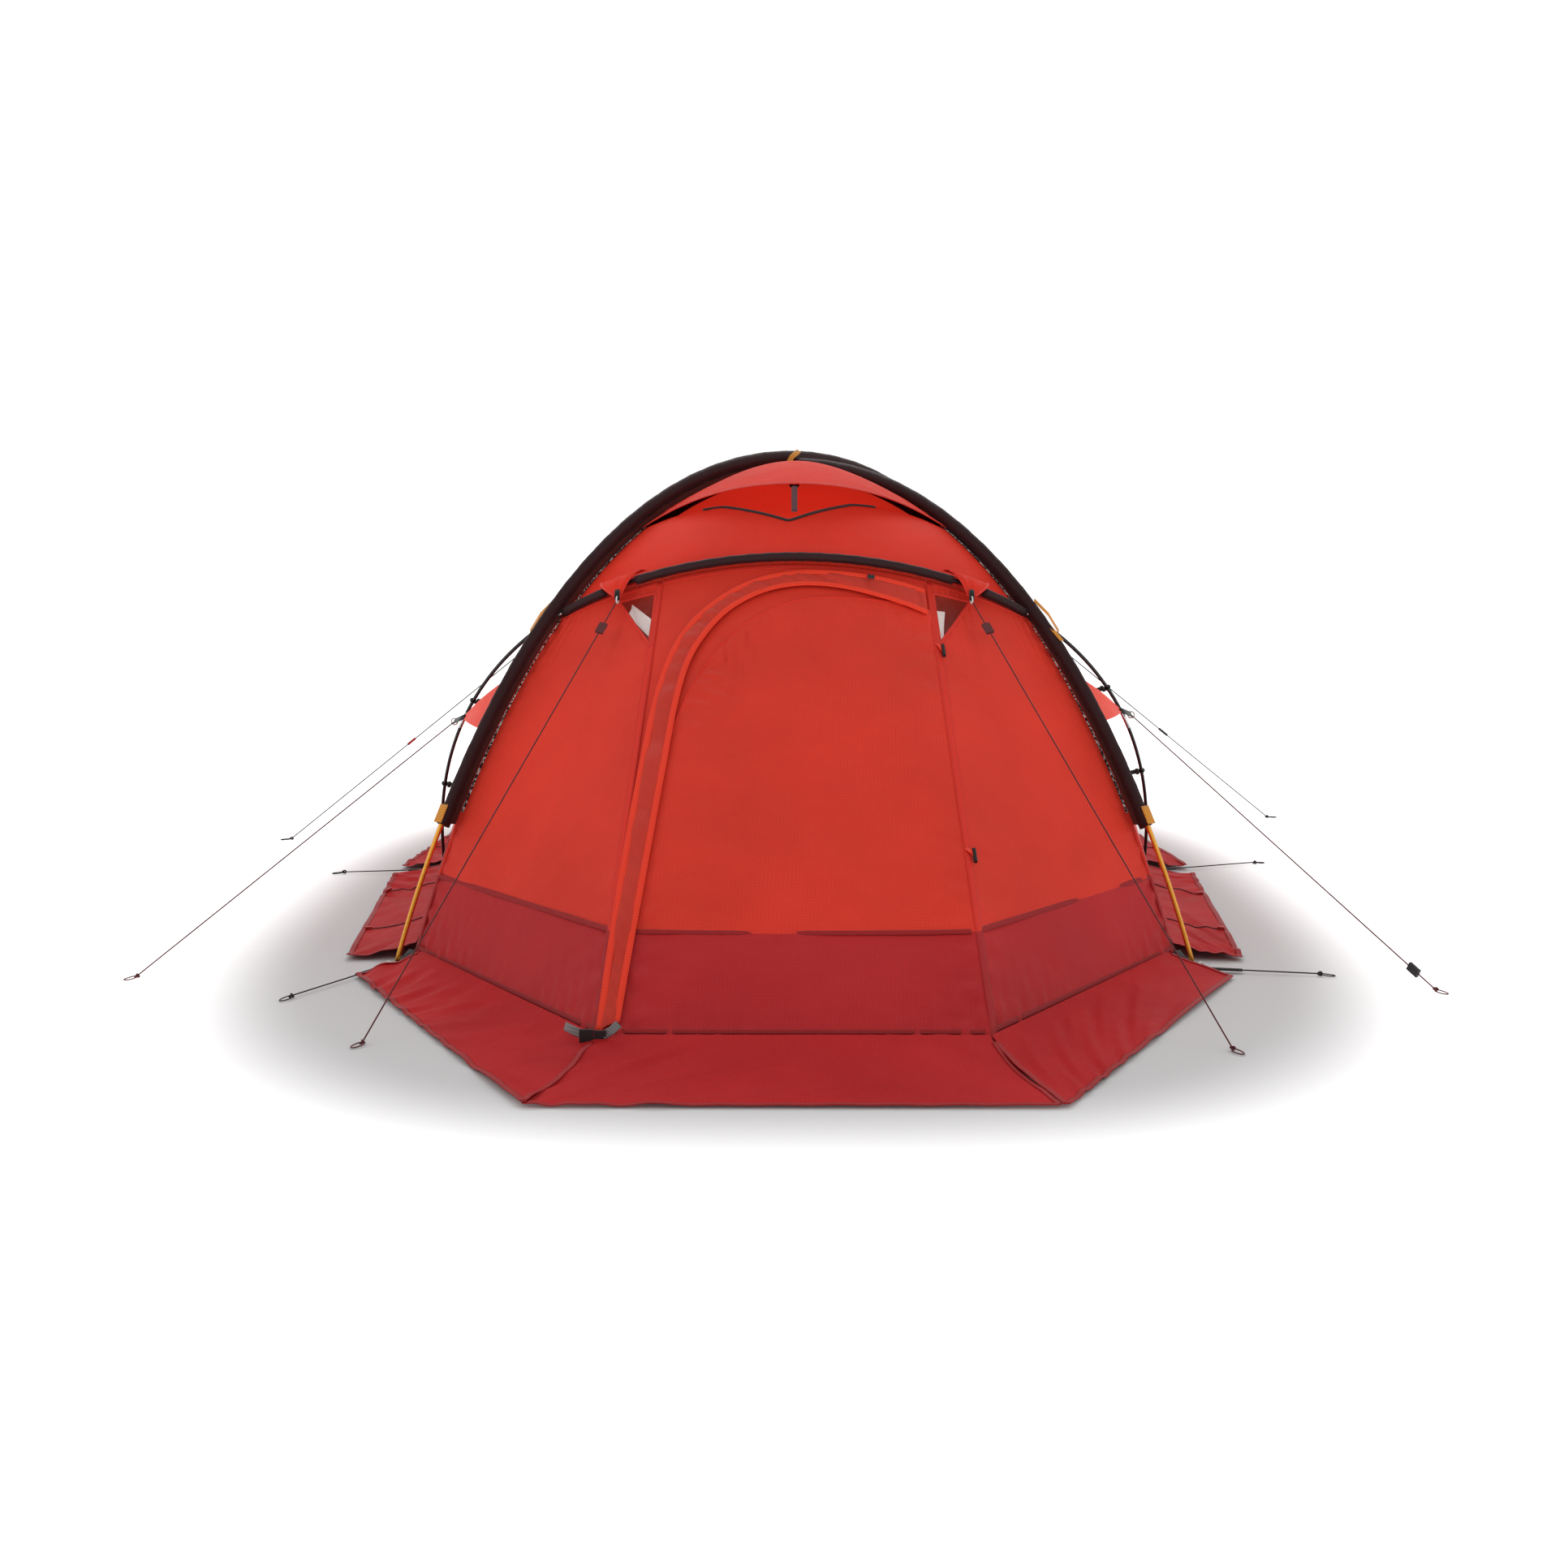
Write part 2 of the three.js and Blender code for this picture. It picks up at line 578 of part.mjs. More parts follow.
// Each line runs straight and tight from the tent to a loop on the ground.
const LOOP_HEIGHT = 6;
const guyLines = {
  guy_front_left: { from: vec(-404, -792, 790), to: vec(-819, -1678, LOOP_HEIGHT), slider: 0.075 },
  guy_front_right: { from: vec(404, -792, 790), to: vec(821, -1714, LOOP_HEIGHT), slider: 0.075 },
  guy_side_left: { from: vec(-846, -428, 468), to: vec(-1414, -1170, LOOP_HEIGHT) },
  guy_side_right: { from: vec(834, -447, 488), to: vec(1342, -1275, LOOP_HEIGHT), slider: 0.94 },
  guy_rear_left: { from: vec(-640, 775, 700), to: vec(-1502, 501, LOOP_HEIGHT), slider: 0.6 },
  guy_rear_right: { from: vec(640, 775, 700), to: vec(1508, 907, LOOP_HEIGHT), slider: 0.6 },
  stake_hoop_left: { from: vec(-985, 0, 9), to: vec(-1226, -21, LOOP_HEIGHT) },
  stake_hoop_right: { from: vec(985, 0, 9), to: vec(1289, 130, LOOP_HEIGHT) },
  stake_foot_left: { from: vec(-905, -1108, 8), to: vec(-1039, -1338, LOOP_HEIGHT) },
  stake_foot_right: { from: vec(905, -1108, 8), to: vec(1134, -1144, LOOP_HEIGHT) },
};
for (const [name, { from, to, slider }] of Object.entries(guyLines)) {
  add(name, rod(new THREE.LineCurve3(from, to), CORD_RADIUS, 1), cordBraid);
  if (slider) {
    add(name.replace('guy', 'tensioner'), tensioner(from, to, slider), blackPlastic);
  }
}

// ---------------------------------------------------------------- hardware

// The webbing under a front pole foot, with a ring for the pole's tip to stand in.
function footStrap(sideX) {
  const outline = new THREE.Shape();
  outline.moveTo(-12, -26);
  outline.lineTo(12, -26);
  outline.lineTo(12, 14);
  outline.absarc(0, 14, 12, 0, Math.PI, false);
  outline.closePath();
  const hole = new THREE.Path();
  hole.absarc(0, 14, 3, 0, Math.PI * 2, true);
  outline.holes.push(hole);
  const geometry = new THREE.ExtrudeGeometry(outline, { depth: 3, bevelEnabled: false, curveSegments: 6 });
  geometry.rotateZ(sideX * THREE.MathUtils.degToRad(-141));
  geometry.translate(sideX * (MAIN_FOOT_X - 9), -(MAIN_FOOT_Y - 11), 4);
  return geometry;
}
add('foot_strap_left', footStrap(-1), webbing);
add('foot_strap_right', footStrap(1), webbing);

// A slider on the straight top stretch of the zip, under the storm flap's edge.
const zipPlace = zipSurface(0.9, 0.62);
const slider = new THREE.BoxGeometry(16, 5, 9);
const zipEnd = zipSurface(0.965, 0.62);
const zipDirection = zipEnd.clone().sub(zipPlace).normalize();
slider.applyQuaternion(new THREE.Quaternion().setFromUnitVectors(vec(1, 0, 0), zipDirection));
slider.translate(zipPlace.x, zipPlace.y - 14, zipPlace.z + 14);
add('zip_slider', slider, blackPlastic);

// The buckle at the door's lower left corner. Its tongue is on the door's strap.
const BUCKLE_X = -VESTIBULE_X - 6;
const BUCKLE_Y = -VESTIBULE_Y - 6;
const BUCKLE_Z = 40;
const socket = new THREE.BoxGeometry(26, 8, 24);
socket.translate(BUCKLE_X - 10, BUCKLE_Y - 4, BUCKLE_Z);
add('buckle_socket', socket, blackPlastic);
const tongue = new THREE.BoxGeometry(22, 6, 20);
tongue.translate(BUCKLE_X + 15, BUCKLE_Y - 4, BUCKLE_Z);
add('buckle_tongue', tongue, blackPlastic);

// The toggles that hold the rolled door back, on the right hem beside the door.
const TOGGLE_RADIUS = 4;
const TOGGLE_LENGTH = 34;
const TOGGLE_LIFT = 8;
const vestibuleRight = mirrorX(vestibuleLeft);
function toggle(v) {
  const place = vestibuleRight(0.035, v);
  const away = vestibuleRight(0.035, v + 0.01).sub(place).normalize();
  const body = new THREE.CylinderGeometry(TOGGLE_RADIUS, TOGGLE_RADIUS, TOGGLE_LENGTH, 10);
  body.applyQuaternion(new THREE.Quaternion().setFromUnitVectors(vec(0, 1, 0), away));
  body.translate(place.x + TOGGLE_LIFT * 0.45, place.y - TOGGLE_LIFT * 0.55, place.z + TOGGLE_LIFT * 0.7);
  return body;
}
add('door_toggle_upper', toggle(0.82), blackPlastic);
add('door_toggle_lower', toggle(0.36), blackPlastic);

export default tent;
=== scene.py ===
"""The look of a pole-supported dome tent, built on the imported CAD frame. Metres, +Z up."""
import math

import bpy
import numpy as np
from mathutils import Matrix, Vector


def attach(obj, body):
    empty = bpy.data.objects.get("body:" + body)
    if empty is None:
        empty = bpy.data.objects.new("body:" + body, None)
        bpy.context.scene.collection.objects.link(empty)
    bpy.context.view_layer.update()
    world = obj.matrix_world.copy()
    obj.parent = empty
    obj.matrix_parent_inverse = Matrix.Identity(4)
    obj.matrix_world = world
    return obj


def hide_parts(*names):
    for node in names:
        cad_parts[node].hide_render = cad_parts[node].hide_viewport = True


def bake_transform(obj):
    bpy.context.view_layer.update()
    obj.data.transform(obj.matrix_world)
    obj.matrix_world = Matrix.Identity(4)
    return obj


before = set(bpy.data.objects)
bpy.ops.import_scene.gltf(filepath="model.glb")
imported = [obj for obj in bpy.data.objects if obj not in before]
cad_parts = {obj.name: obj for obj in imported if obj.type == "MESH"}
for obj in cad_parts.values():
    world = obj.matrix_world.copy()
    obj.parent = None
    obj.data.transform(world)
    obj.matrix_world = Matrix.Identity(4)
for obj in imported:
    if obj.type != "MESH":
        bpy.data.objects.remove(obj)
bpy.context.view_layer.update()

# ------------------------------------------------------------------ the tent's own lines
# The tent's lines are written about its apex and then moved back by MIDDLE_Y.
MIDDLE_Y = 0.4355
MIDDLE = np.array((0.0, MIDDLE_Y, 0.0))
LEAN_SIN, LEAN_COS = math.sin(math.radians(42.1)), math.cos(math.radians(42.1))
# The poles' half sizes at the ground and their reach, from the apex's foot.
MAIN_X, MAIN_Y, MAIN_TOP, MAIN_KNEE = 0.878, 1.075, 1.119, 0.459
HOOP_X, HOOP_REACH = 0.954, 1.201
HEM = 0.008
WALL_SEAM = 0.036
BAND_HEIGHT = 0.187
MAIN_INSET = 0.032
HOOP_INSET = 0.016
CROSS_MAIN, CROSS_HOOP, RIDGE = 0.52, 0.505, 0.7
SIDE_GAP = 0.045
CORNER_X, CORNER_Y = 0.370, 1.745
# The door, as shares of the front facet, how square its arch is, and how far it stands off.
DOOR_LEFT, DOOR_TOP, SHARPNESS, DOOR_LIFT = 0.05, 0.925, 4.2, 0.0015


def bezier(points, t):
    t = np.asarray(t, float)[..., None]
    a, b, c, d = points
    return (1 - t) ** 3 * a + 3 * (1 - t) ** 2 * t * b + 3 * (1 - t) * t * t * c + t**3 * d


def main_half(side_x, side_y, inset=0.0, lift=0.0):
    """Half a main pole, from its foot, 0, to the apex, 1."""
    x, y, top = side_x * (MAIN_X - inset), side_y * (MAIN_Y - inset), MAIN_TOP - inset + lift
    points = np.array(
        ((x, y, 0), (x * 0.869, y * 0.869, MAIN_KNEE), (x * 0.572, y * 0.572, top), (0, 0, top))
    )
    return lambda t: bezier(points, t)


def hoop_half(side_x, side_y, inset=0.0):
    """Half a leaning hoop pole, from its foot, 0, to its top, 1."""
    foot, reach = HOOP_X - inset, HOOP_REACH - inset

    def point(x, s):
        return (side_x * x, side_y * s * LEAN_SIN, s * LEAN_COS - inset * 0.5)

    points = np.array(
        (point(foot, 0), point(foot - 0.051, reach * 0.904), point(foot * 0.27, reach), point(0, reach))
    )
    return lambda t: bezier(points, t)


def arch(left, right):
    """A whole arch from -1, the left foot, to 1, the right foot."""

    def at(place):
        place = np.asarray(place, float)
        return np.where((place < 0)[..., None], left(1 - np.abs(place)), right(1 - np.abs(place)))

    return at


def stretch(curve, start, end):
    return lambda t: curve(start + (end - start) * np.asarray(t, float))


def line(start, end):
    start, end = np.asarray(start, float), np.asarray(end, float)
    return lambda t: start + (end - start) * np.asarray(t, float)[..., None]


def coons(bottom, top, left, right):
    """A surface between four curves. Seen from outside, u runs to the right and v runs up."""
    b0, b1, t0, t1 = bottom(0.0), bottom(1.0), top(0.0), top(1.0)

    def at(u, v):
        uu, vv = np.asarray(u, float)[..., None], np.asarray(v, float)[..., None]
        plane = (b0 * (1 - uu) + b1 * uu) * (1 - vv) + (t0 * (1 - uu) + t1 * uu) * vv
        return bottom(u) * (1 - vv) + top(u) * vv + left(v) * (1 - uu) + right(v) * uu - plane

    return at


def mirror_x(surface):
    return lambda u, v: surface(1 - np.asarray(u, float), v) * (-1, 1, 1)


def mirror_y(surface):
    return lambda u, v: surface(1 - np.asarray(u, float), v) * (1, -1, 1)


def hoop_shell(side_x, side_y):
    return hoop_half(side_x, side_y, HOOP_INSET)


def hoop_side(side_x, side_y):
    """The fly's edge at the sides, held some way in from the hoop by straps."""
    edge = hoop_shell(side_x, side_y)

    def at(t):
        bow = SIDE_GAP * np.sin(math.pi * np.clip(np.asarray(t, float) / CROSS_HOOP, 0, 1))
        return edge(t) - bow[..., None] * np.array((side_x, 0, 0))

    return at


def main_shell(side_x, side_y):
    return main_half(side_x, side_y, MAIN_INSET)


def hoop_span(side_y, start, end):
    return stretch(arch(hoop_shell(-1, side_y), hoop_shell(1, side_y)), start, end)


def at_hem(point, height=HEM):
    return np.array((point[0], point[1], height))


HEM_MAIN = HEM / (3 * MAIN_KNEE)
HEM_HOOP = 0.004
corner_left, corner_right = np.array((-CORNER_X, -CORNER_Y, HEM)), np.array((CORNER_X, -CORNER_Y, HEM))
ridge_left, ridge_right = hoop_shell(-1, -1)(RIDGE), hoop_shell(1, -1)(RIDGE)

roof_front = coons(
    hoop_span(-1, CROSS_HOOP - 1, 1 - CROSS_HOOP),
    line(main_shell(-1, -1)(0.99), main_shell(1, -1)(0.99)),
    stretch(main_shell(-1, -1), CROSS_MAIN, 0.99),
    stretch(main_shell(1, -1), CROSS_MAIN, 0.99),
)
roof_left = coons(
    stretch(hoop_side(-1, -1), HEM_HOOP, CROSS_HOOP),
    stretch(main_shell(-1, 1), CROSS_MAIN, 1),
    stretch(hoop_side(-1, 1), HEM_HOOP, CROSS_HOOP),
    stretch(main_shell(-1, -1), CROSS_MAIN, 1),
)


def roof_right(u, v):
    return roof_left(v, u) * (-1, 1, 1)


side_left = coons(
    line(at_hem(hoop_shell(-1, -1)(0.0)), at_hem(main_shell(-1, -1)(0.0))),
    line(hoop_side(-1, -1)(CROSS_HOOP * 0.985), main_shell(-1, -1)(CROSS_MAIN * 0.985)),
    stretch(hoop_side(-1, -1), HEM_HOOP, CROSS_HOOP * 0.985),
    stretch(main_shell(-1, -1), HEM_MAIN, CROSS_MAIN * 0.985),
)
rear_wall = coons(
    line(at_hem(main_shell(1, 1)(0.0)), at_hem(main_shell(-1, 1)(0.0))),
    hoop_span(1, 1 - CROSS_HOOP, CROSS_HOOP - 1),
    stretch(main_shell(1, 1), HEM_MAIN, CROSS_MAIN),
    stretch(main_shell(-1, 1), HEM_MAIN, CROSS_MAIN),
)
vestibule_left = coons(
    line(at_hem(main_shell(-1, -1)(0.0)), corner_left),
    stretch(hoop_shell(-1, -1), CROSS_HOOP, RIDGE),
    stretch(main_shell(-1, -1), HEM_MAIN, CROSS_MAIN),
    line(corner_left, ridge_left),
)
vestibule_right = mirror_x(vestibule_left)
front = coons(
    line(corner_left, corner_right),
    hoop_span(-1, RIDGE - 1, 1 - RIDGE),
    line(corner_left, ridge_left),
    line(corner_right, ridge_right),
)


def normals_of(surface, u, v, step=0.003):
    u, v = np.broadcast_arrays(np.asarray(u, float), np.asarray(v, float))
    normal = np.cross(
        surface(u + step, v) - surface(u - step, v), surface(u, v + step) - surface(u, v - step)
    )
    return normal / np.maximum(np.linalg.norm(normal, axis=-1, keepdims=True), 1e-9)


def lifted(surface, height):
    """The surface moved outward by a height, which may be a function of (u, v)."""

    def at(u, v):
        u, v = np.broadcast_arrays(np.asarray(u, float), np.asarray(v, float))
        rise = height(u, v) if callable(height) else np.full(u.shape, height)
        return surface(u, v) + normals_of(surface, u, v) * np.asarray(rise)[..., None]

    return at


def smooth(x, start, end):
    t = np.clip((np.asarray(x, float) - start) / (end - start), 0, 1)
    return t * t * (3 - 2 * t)


# ------------------------------------------------------------------ meshes


def make(name, points, faces, material, uv=None):
    """A mesh piece from points in the tent's own lines, moved into the row frame."""
    points = np.asarray(points, float)
    mesh = bpy.data.meshes.new(name)
    mesh.from_pydata((points + MIDDLE).tolist(), [], [list(map(int, f)) for f in faces])
    mesh.update()
    layer = mesh.uv_layers.new(name="UVMap")
    corner = np.empty(len(mesh.loops), np.int64)
    mesh.loops.foreach_get("vertex_index", corner)
    uv = points[:, :2] if uv is None else np.asarray(uv, float)
    layer.data.foreach_set("uv", uv[corner].ravel())
    attribute = mesh.attributes.new("height", "FLOAT", "POINT")
    attribute.data.foreach_set("value", points[:, 2].astype(np.float32))
    mesh.polygons.foreach_set("use_smooth", np.ones(len(mesh.polygons), bool))
    mesh.materials.append(material)
    piece = bpy.data.objects.new(name, mesh)
    bpy.context.scene.collection.objects.link(piece)
    return piece


def grid_faces(rows, columns):
    i = np.arange((rows - 1) * (columns - 1))
    a = (i // (columns - 1)) * columns + i % (columns - 1)
    return np.stack((a, a + 1, a + columns + 1, a + columns), axis=1)


def grid_piece(name, points, material, keep=None):
    """A cloth sheet from a grid of points, with texture coordinates in metres."""
    rows, columns = points.shape[:2]
    across = np.linalg.norm(np.diff(points, axis=1), axis=2)
    upward = np.linalg.norm(np.diff(points, axis=0), axis=2)
    cu = np.concatenate((np.zeros((rows, 1)), np.cumsum(across, axis=1)), axis=1)
    cv = np.concatenate((np.zeros((1, columns)), np.cumsum(upward, axis=0)), axis=0)
    uv = np.stack((cu - cu[:, -1:] / 2, cv), axis=2).reshape(-1, 2)
    faces = grid_faces(rows, columns)
    if keep is not None:
        faces = faces[keep(faces)]
    return make(name, points.reshape(-1, 3), faces, material, uv)


def folds(points, us, vs, u, v):
    """A smooth field of shallow wrinkles, nothing at the panel's edges."""
    a, b = (us - u[0]) / (u[1] - u[0]), (vs - v[0]) / (v[1] - v[0])
    edge = np.clip(4 * a * (1 - a), 0, 1) * np.clip(4 * b * (1 - b), 0, 1)
    x, y, z = points[..., 0], points[..., 1], points[..., 2]
    wave = (
        np.sin(9 * x + 6 * z + 1.3 * np.sin(5 * y + 2))
        + 0.6 * np.sin(17 * y - 11 * z + 1.7 * np.sin(7 * x))
        + 0.35 * np.sin(31 * x + 23 * z + 2 * np.sin(9 * y))
    )
    return np.sqrt(edge) * wave / 2 + puckers(a, b) + puckers(b, a)


def puckers(a, b):
    """Short tension folds that run in from the two edges where a is 0 and 1."""
    total = 0
    for near, phase in ((a, 0.0), (1 - a, 2.0)):
        strength = smooth(near, 0.0, 0.035) * np.exp(-near / 0.055)
        patchy = 0.5 + 0.5 * np.sin(7 * b + 3 * phase + 1)
        total = total + strength * patchy * (
            np.sin(95 * b + 30 * near + phase) + 0.6 * np.sin(151 * b - 22 * near + 2 * phase)
        )
    return 0.95 * total


def cloth_panel(name, surface, material, nu, nv, u=(0, 1), v=(0, 1), wrinkle=0.0, keep=None):
    """A sheet on a surface, with small wrinkles away from its edges."""
    us, vs = np.meshgrid(np.linspace(*u, nu + 1), np.linspace(*v, nv + 1))
    points = lifted(surface, lambda a, b: wrinkle * folds(surface(a, b), a, b, u, v))(us, vs)

    def kept(faces):
        return keep(us.ravel()[faces].mean(axis=1), vs.ravel()[faces].mean(axis=1))

    return grid_piece(name, points, material, kept if keep else None)


def declare_sheet(piece):
    """Works out the flat size of a cloth piece from its area and texture coordinates; nothing is declared or
    kept.
    """
    area = sum(face.area for face in piece.data.polygons)
    uv = np.empty(len(piece.data.loops) * 2)
    piece.data.uv_layers[0].data.foreach_get("uv", uv)
    width, length = (float(s) for s in np.ptp(uv.reshape(-1, 2), axis=0))
    share = area / (width * length)
    if share > 1:
        width, length, share = width * math.sqrt(share), length * math.sqrt(share), 1.0
    if share < 0.45:
        # a triangle is measured by its long side and its height
        width = max(width, length)
        length, share = area / (0.5 * width), 0.5


def unit(vector):
    return vector / np.linalg.norm(vector)


def run_of(points):
    """The length along a path at each of its points."""
    return np.concatenate(((0,), np.cumsum(np.linalg.norm(np.diff(points, axis=0), axis=1))))


def frames(points, up):
    """Directions across and away from a path. up is one direction, or one per point."""
    along = np.gradient(points, axis=0)
    along /= np.maximum(np.linalg.norm(along, axis=1, keepdims=True), 1e-9)
    up = np.broadcast_to(np.asarray(up, float), points.shape)
    across = np.cross(along, up)
    across /= np.maximum(np.linalg.norm(across, axis=1, keepdims=True), 1e-9)
    return across, np.cross(across, along)


def sweep(name, points, across, normal, ring, material, scale=None):
    """A closed section carried along a path, capped at both ends."""
    ring = np.asarray(ring, float)
    n, m = len(points), len(ring)
    scale = (np.ones(n) if scale is None else np.asarray(scale, float))[:, None, None]
    body = points[:, None] + across[:, None] * (ring[None, :, 0:1] * scale) + normal[:, None] * (
        ring[None, :, 1:2] * scale
    )
    body = body.reshape(-1, 3)
    uv = np.stack(np.meshgrid(run_of(ring), run_of(points)), axis=2).reshape(-1, 2)
    faces = []
    for i in range(n - 1):
        for j in range(m):
            a, b = i * m + j, i * m + (j + 1) % m
            faces.append((a, b, b + m, a + m))
    faces += [tuple(range(m))[::-1], tuple((n - 1) * m + j for j in range(m))]
    return make(name, body, faces, material, uv)


def strip(name, points, up, width, material, thickness=0.0012, bulge=0.0, offset=0.0):
    """A flat tape along a path, a closed body. up is the direction it faces."""
    points = np.asarray(points, float)
    across, normal = frames(points, up)
    places = np.array((-0.5, -0.3, 0.0, 0.3, 0.5))
    top = np.array((0.0, 0.75, 1.0, 0.75, 0.0))
    ring = [(p * width, offset + thickness + bulge * t) for p, t in zip(places, top)]
    ring += [(p * width, offset) for p in places[::-1]]
    return sweep(name, points, across, normal, ring, material)


def circle(radius, sides=12, flat=1.0):
    a = np.linspace(0, 2 * math.pi, sides, endpoint=False)
    return np.stack((radius * np.cos(a), radius * flat * np.sin(a)), axis=1)


def tube(name, points, radius, material, sides=12, up=(0, 0.02, 1), scale=None, flat=1.0):
    points = np.asarray(points, float)
    across, normal = frames(points, up)
    return sweep(name, points, across, normal, circle(radius, sides, flat), material, scale)


def ring_of(name, centre, axis, radius, wire, material, sides=28):
    """A torus, open by a hair so that its two capped ends meet."""
    axis = unit(np.asarray(axis, float))
    first = unit(np.cross(axis, (0.3, 0.5, 0.81)))
    second = np.cross(axis, first)
    a = np.linspace(0, 2 * math.pi, sides + 1)
    points = centre + radius * (np.cos(a)[:, None] * first + np.sin(a)[:, None] * second)
    across = np.broadcast_to(axis, points.shape)
    normal = points - centre
    normal = normal / np.linalg.norm(normal, axis=1, keepdims=True)
    return sweep(name, points, across, normal, circle(wire, 8), material)


def stitches(name, points, up, side_shift, material, pitch=0.007, size=0.0008, lift=0.0016):
    """Short thread dashes beside a path, one mesh."""
    points = np.asarray(points, float)
    across, normal = frames(points, up)
    points = points + across * side_shift
    length = run_of(points)
    count = max(int(length[-1] / pitch), 2)
    where = (np.arange(count) + 0.5) * length[-1] / count

    def along_path(values):
        return np.stack([np.interp(where, length, values[:, k]) for k in range(3)], axis=1)

    centre, side, out = along_path(points), along_path(across), along_path(normal)
    ahead = np.cross(out, side)
    half = pitch * 0.34
    corners = [
        centre + ahead * half * a + side * size * s + out * (lift - abs(a) * 0.0004)
        for a, s in ((-1, 0), (-0.6, -1), (0.6, -1), (1, 0), (0.6, 1), (-0.6, 1))
    ]
    body = np.stack(corners + [centre + out * (lift + 0.0005)], axis=1).reshape(-1, 3)
    faces = [(7 * i + k, 7 * i + (k + 1) % 6, 7 * i + 6) for i in range(count) for k in range(6)]
    return make(name, body, faces, material)


def join(name, pieces):
    """Several meshes as one piece, keeping their materials."""
    bpy.ops.object.select_all(action="DESELECT")
    for piece in pieces:
        piece.select_set(True)
    bpy.context.view_layer.objects.active = pieces[0]
    bpy.ops.object.join()
    pieces[0].name = name
    pieces[0].data.name = name
    return pieces[0]


def block(name, centre, directions, size, material, bevel=0.0015):
    """A small moulded block with rounded edges. directions are its three unit axes."""
    x, y, z = (np.asarray(d, float) * s / 2 for d, s in zip(directions, size))
    corners = [centre + a * x + b * y + c * z for c in (-1, 1) for b in (-1, 1) for a in (-1, 1)]
    faces = [(0, 2, 3, 1), (4, 5, 7, 6), (0, 1, 5, 4), (2, 6, 7, 3), (0, 4, 6, 2), (1, 3, 7, 5)]
    piece = make(name, corners, faces, material)
    modifier = piece.modifiers.new("rounded", "BEVEL")
    modifier.width, modifier.segments = bevel, 3
    modifier.limit_method = "NONE"
    bpy.context.view_layer.objects.active = piece
    bpy.ops.object.modifier_apply(modifier="rounded")
    return piece


def ride(piece, body="tent", replaced=()):
    """Rides a piece on a body, and hides the CAD nodes it stands for."""
    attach(piece, body)
    if replaced:
        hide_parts(*replaced)
    return piece


# ------------------------------------------------------------------ materials


def node(tree, kind, **values):
    made = tree.nodes.new(kind)
    for key, value in values.items():
        if key.startswith("in_"):
            made.inputs[key[3:].replace("_", " ")].default_value = value
        else:
            setattr(made, key, value)
    return made


def principled(name, color, roughness, metallic=0.0, sheen=0.0, specular=0.5, coat=0.0):
    """A new material, with its node tree and its shader."""
    material = bpy.data.materials.new(name)
    material.use_nodes = True
    tree = material.node_tree
    shader = tree.nodes["Principled BSDF"]
    shader.inputs["Base Color"].default_value = (*color, 1)
    shader.inputs["Roughness"].default_value = roughness
    shader.inputs["Metallic"].default_value = metallic
    shader.inputs["Sheen Weight"].default_value = sheen
    shader.inputs["Specular IOR Level"].default_value = specular
    shader.inputs["Coat Weight"].default_value = coat
    return material, tree, shader


def linear(r, g, b):
    """An sRGB colour of 0 to 255 as linear numbers."""
    return tuple(
        c / 255 / 12.92 if c / 255 < 0.04045 else ((c / 255 + 0.055) / 1.055) ** 2.4 for c in (r, g, b)
    )


def ramp_of(tree, source, low, high, start=0.0, end=1.0):
    """source mapped from start..end to low..high."""
    made = node(tree, "ShaderNodeMapRange")
    for key, value in (("From Min", start), ("From Max", end), ("To Min", low), ("To Max", high)):
        made.inputs[key].default_value = value
    tree.links.new(source, made.inputs["Value"])
    return made.outputs["Result"]


def bump_of(tree, source, strength, distance, under=None):
    """A bump normal from a height, over another normal if one is given."""
    made = node(tree, "ShaderNodeBump")
    made.inputs["Strength"].default_value = strength
    made.inputs["Distance"].default_value = distance
    tree.links.new(source, made.inputs["Height"])
    if under is not None:
        tree.links.new(under, made.inputs["Normal"])
    return made.outputs["Normal"]


def placed(tree, kind, **values):
    """A texture node that reads the piece's own coordinates."""
    made = node(tree, kind, **values)
    coords = node(tree, "ShaderNodeTexCoord")
    tree.links.new(coords.outputs["Object"], made.inputs["Vector"])
    return made


def shaded(tree, shader, color, factor):
    """Makes the base colour one colour scaled by a varying factor."""
    shade = node(tree, "ShaderNodeVectorMath", operation="SCALE")
    shade.inputs[0].default_value = color
    tree.links.new(factor, shade.inputs["Scale"])
    tree.links.new(shade.outputs[0], shader.inputs["Base Color"])


def glow(material, color, strength):
    """Painted light: the cloth emits a glow that stands in for light coming through it from its far side."""
    shader = material.node_tree.nodes["Principled BSDF"]
    shader.inputs["Emission Color"].default_value = (*color, 1)
    shader.inputs["Emission Strength"].default_value = strength


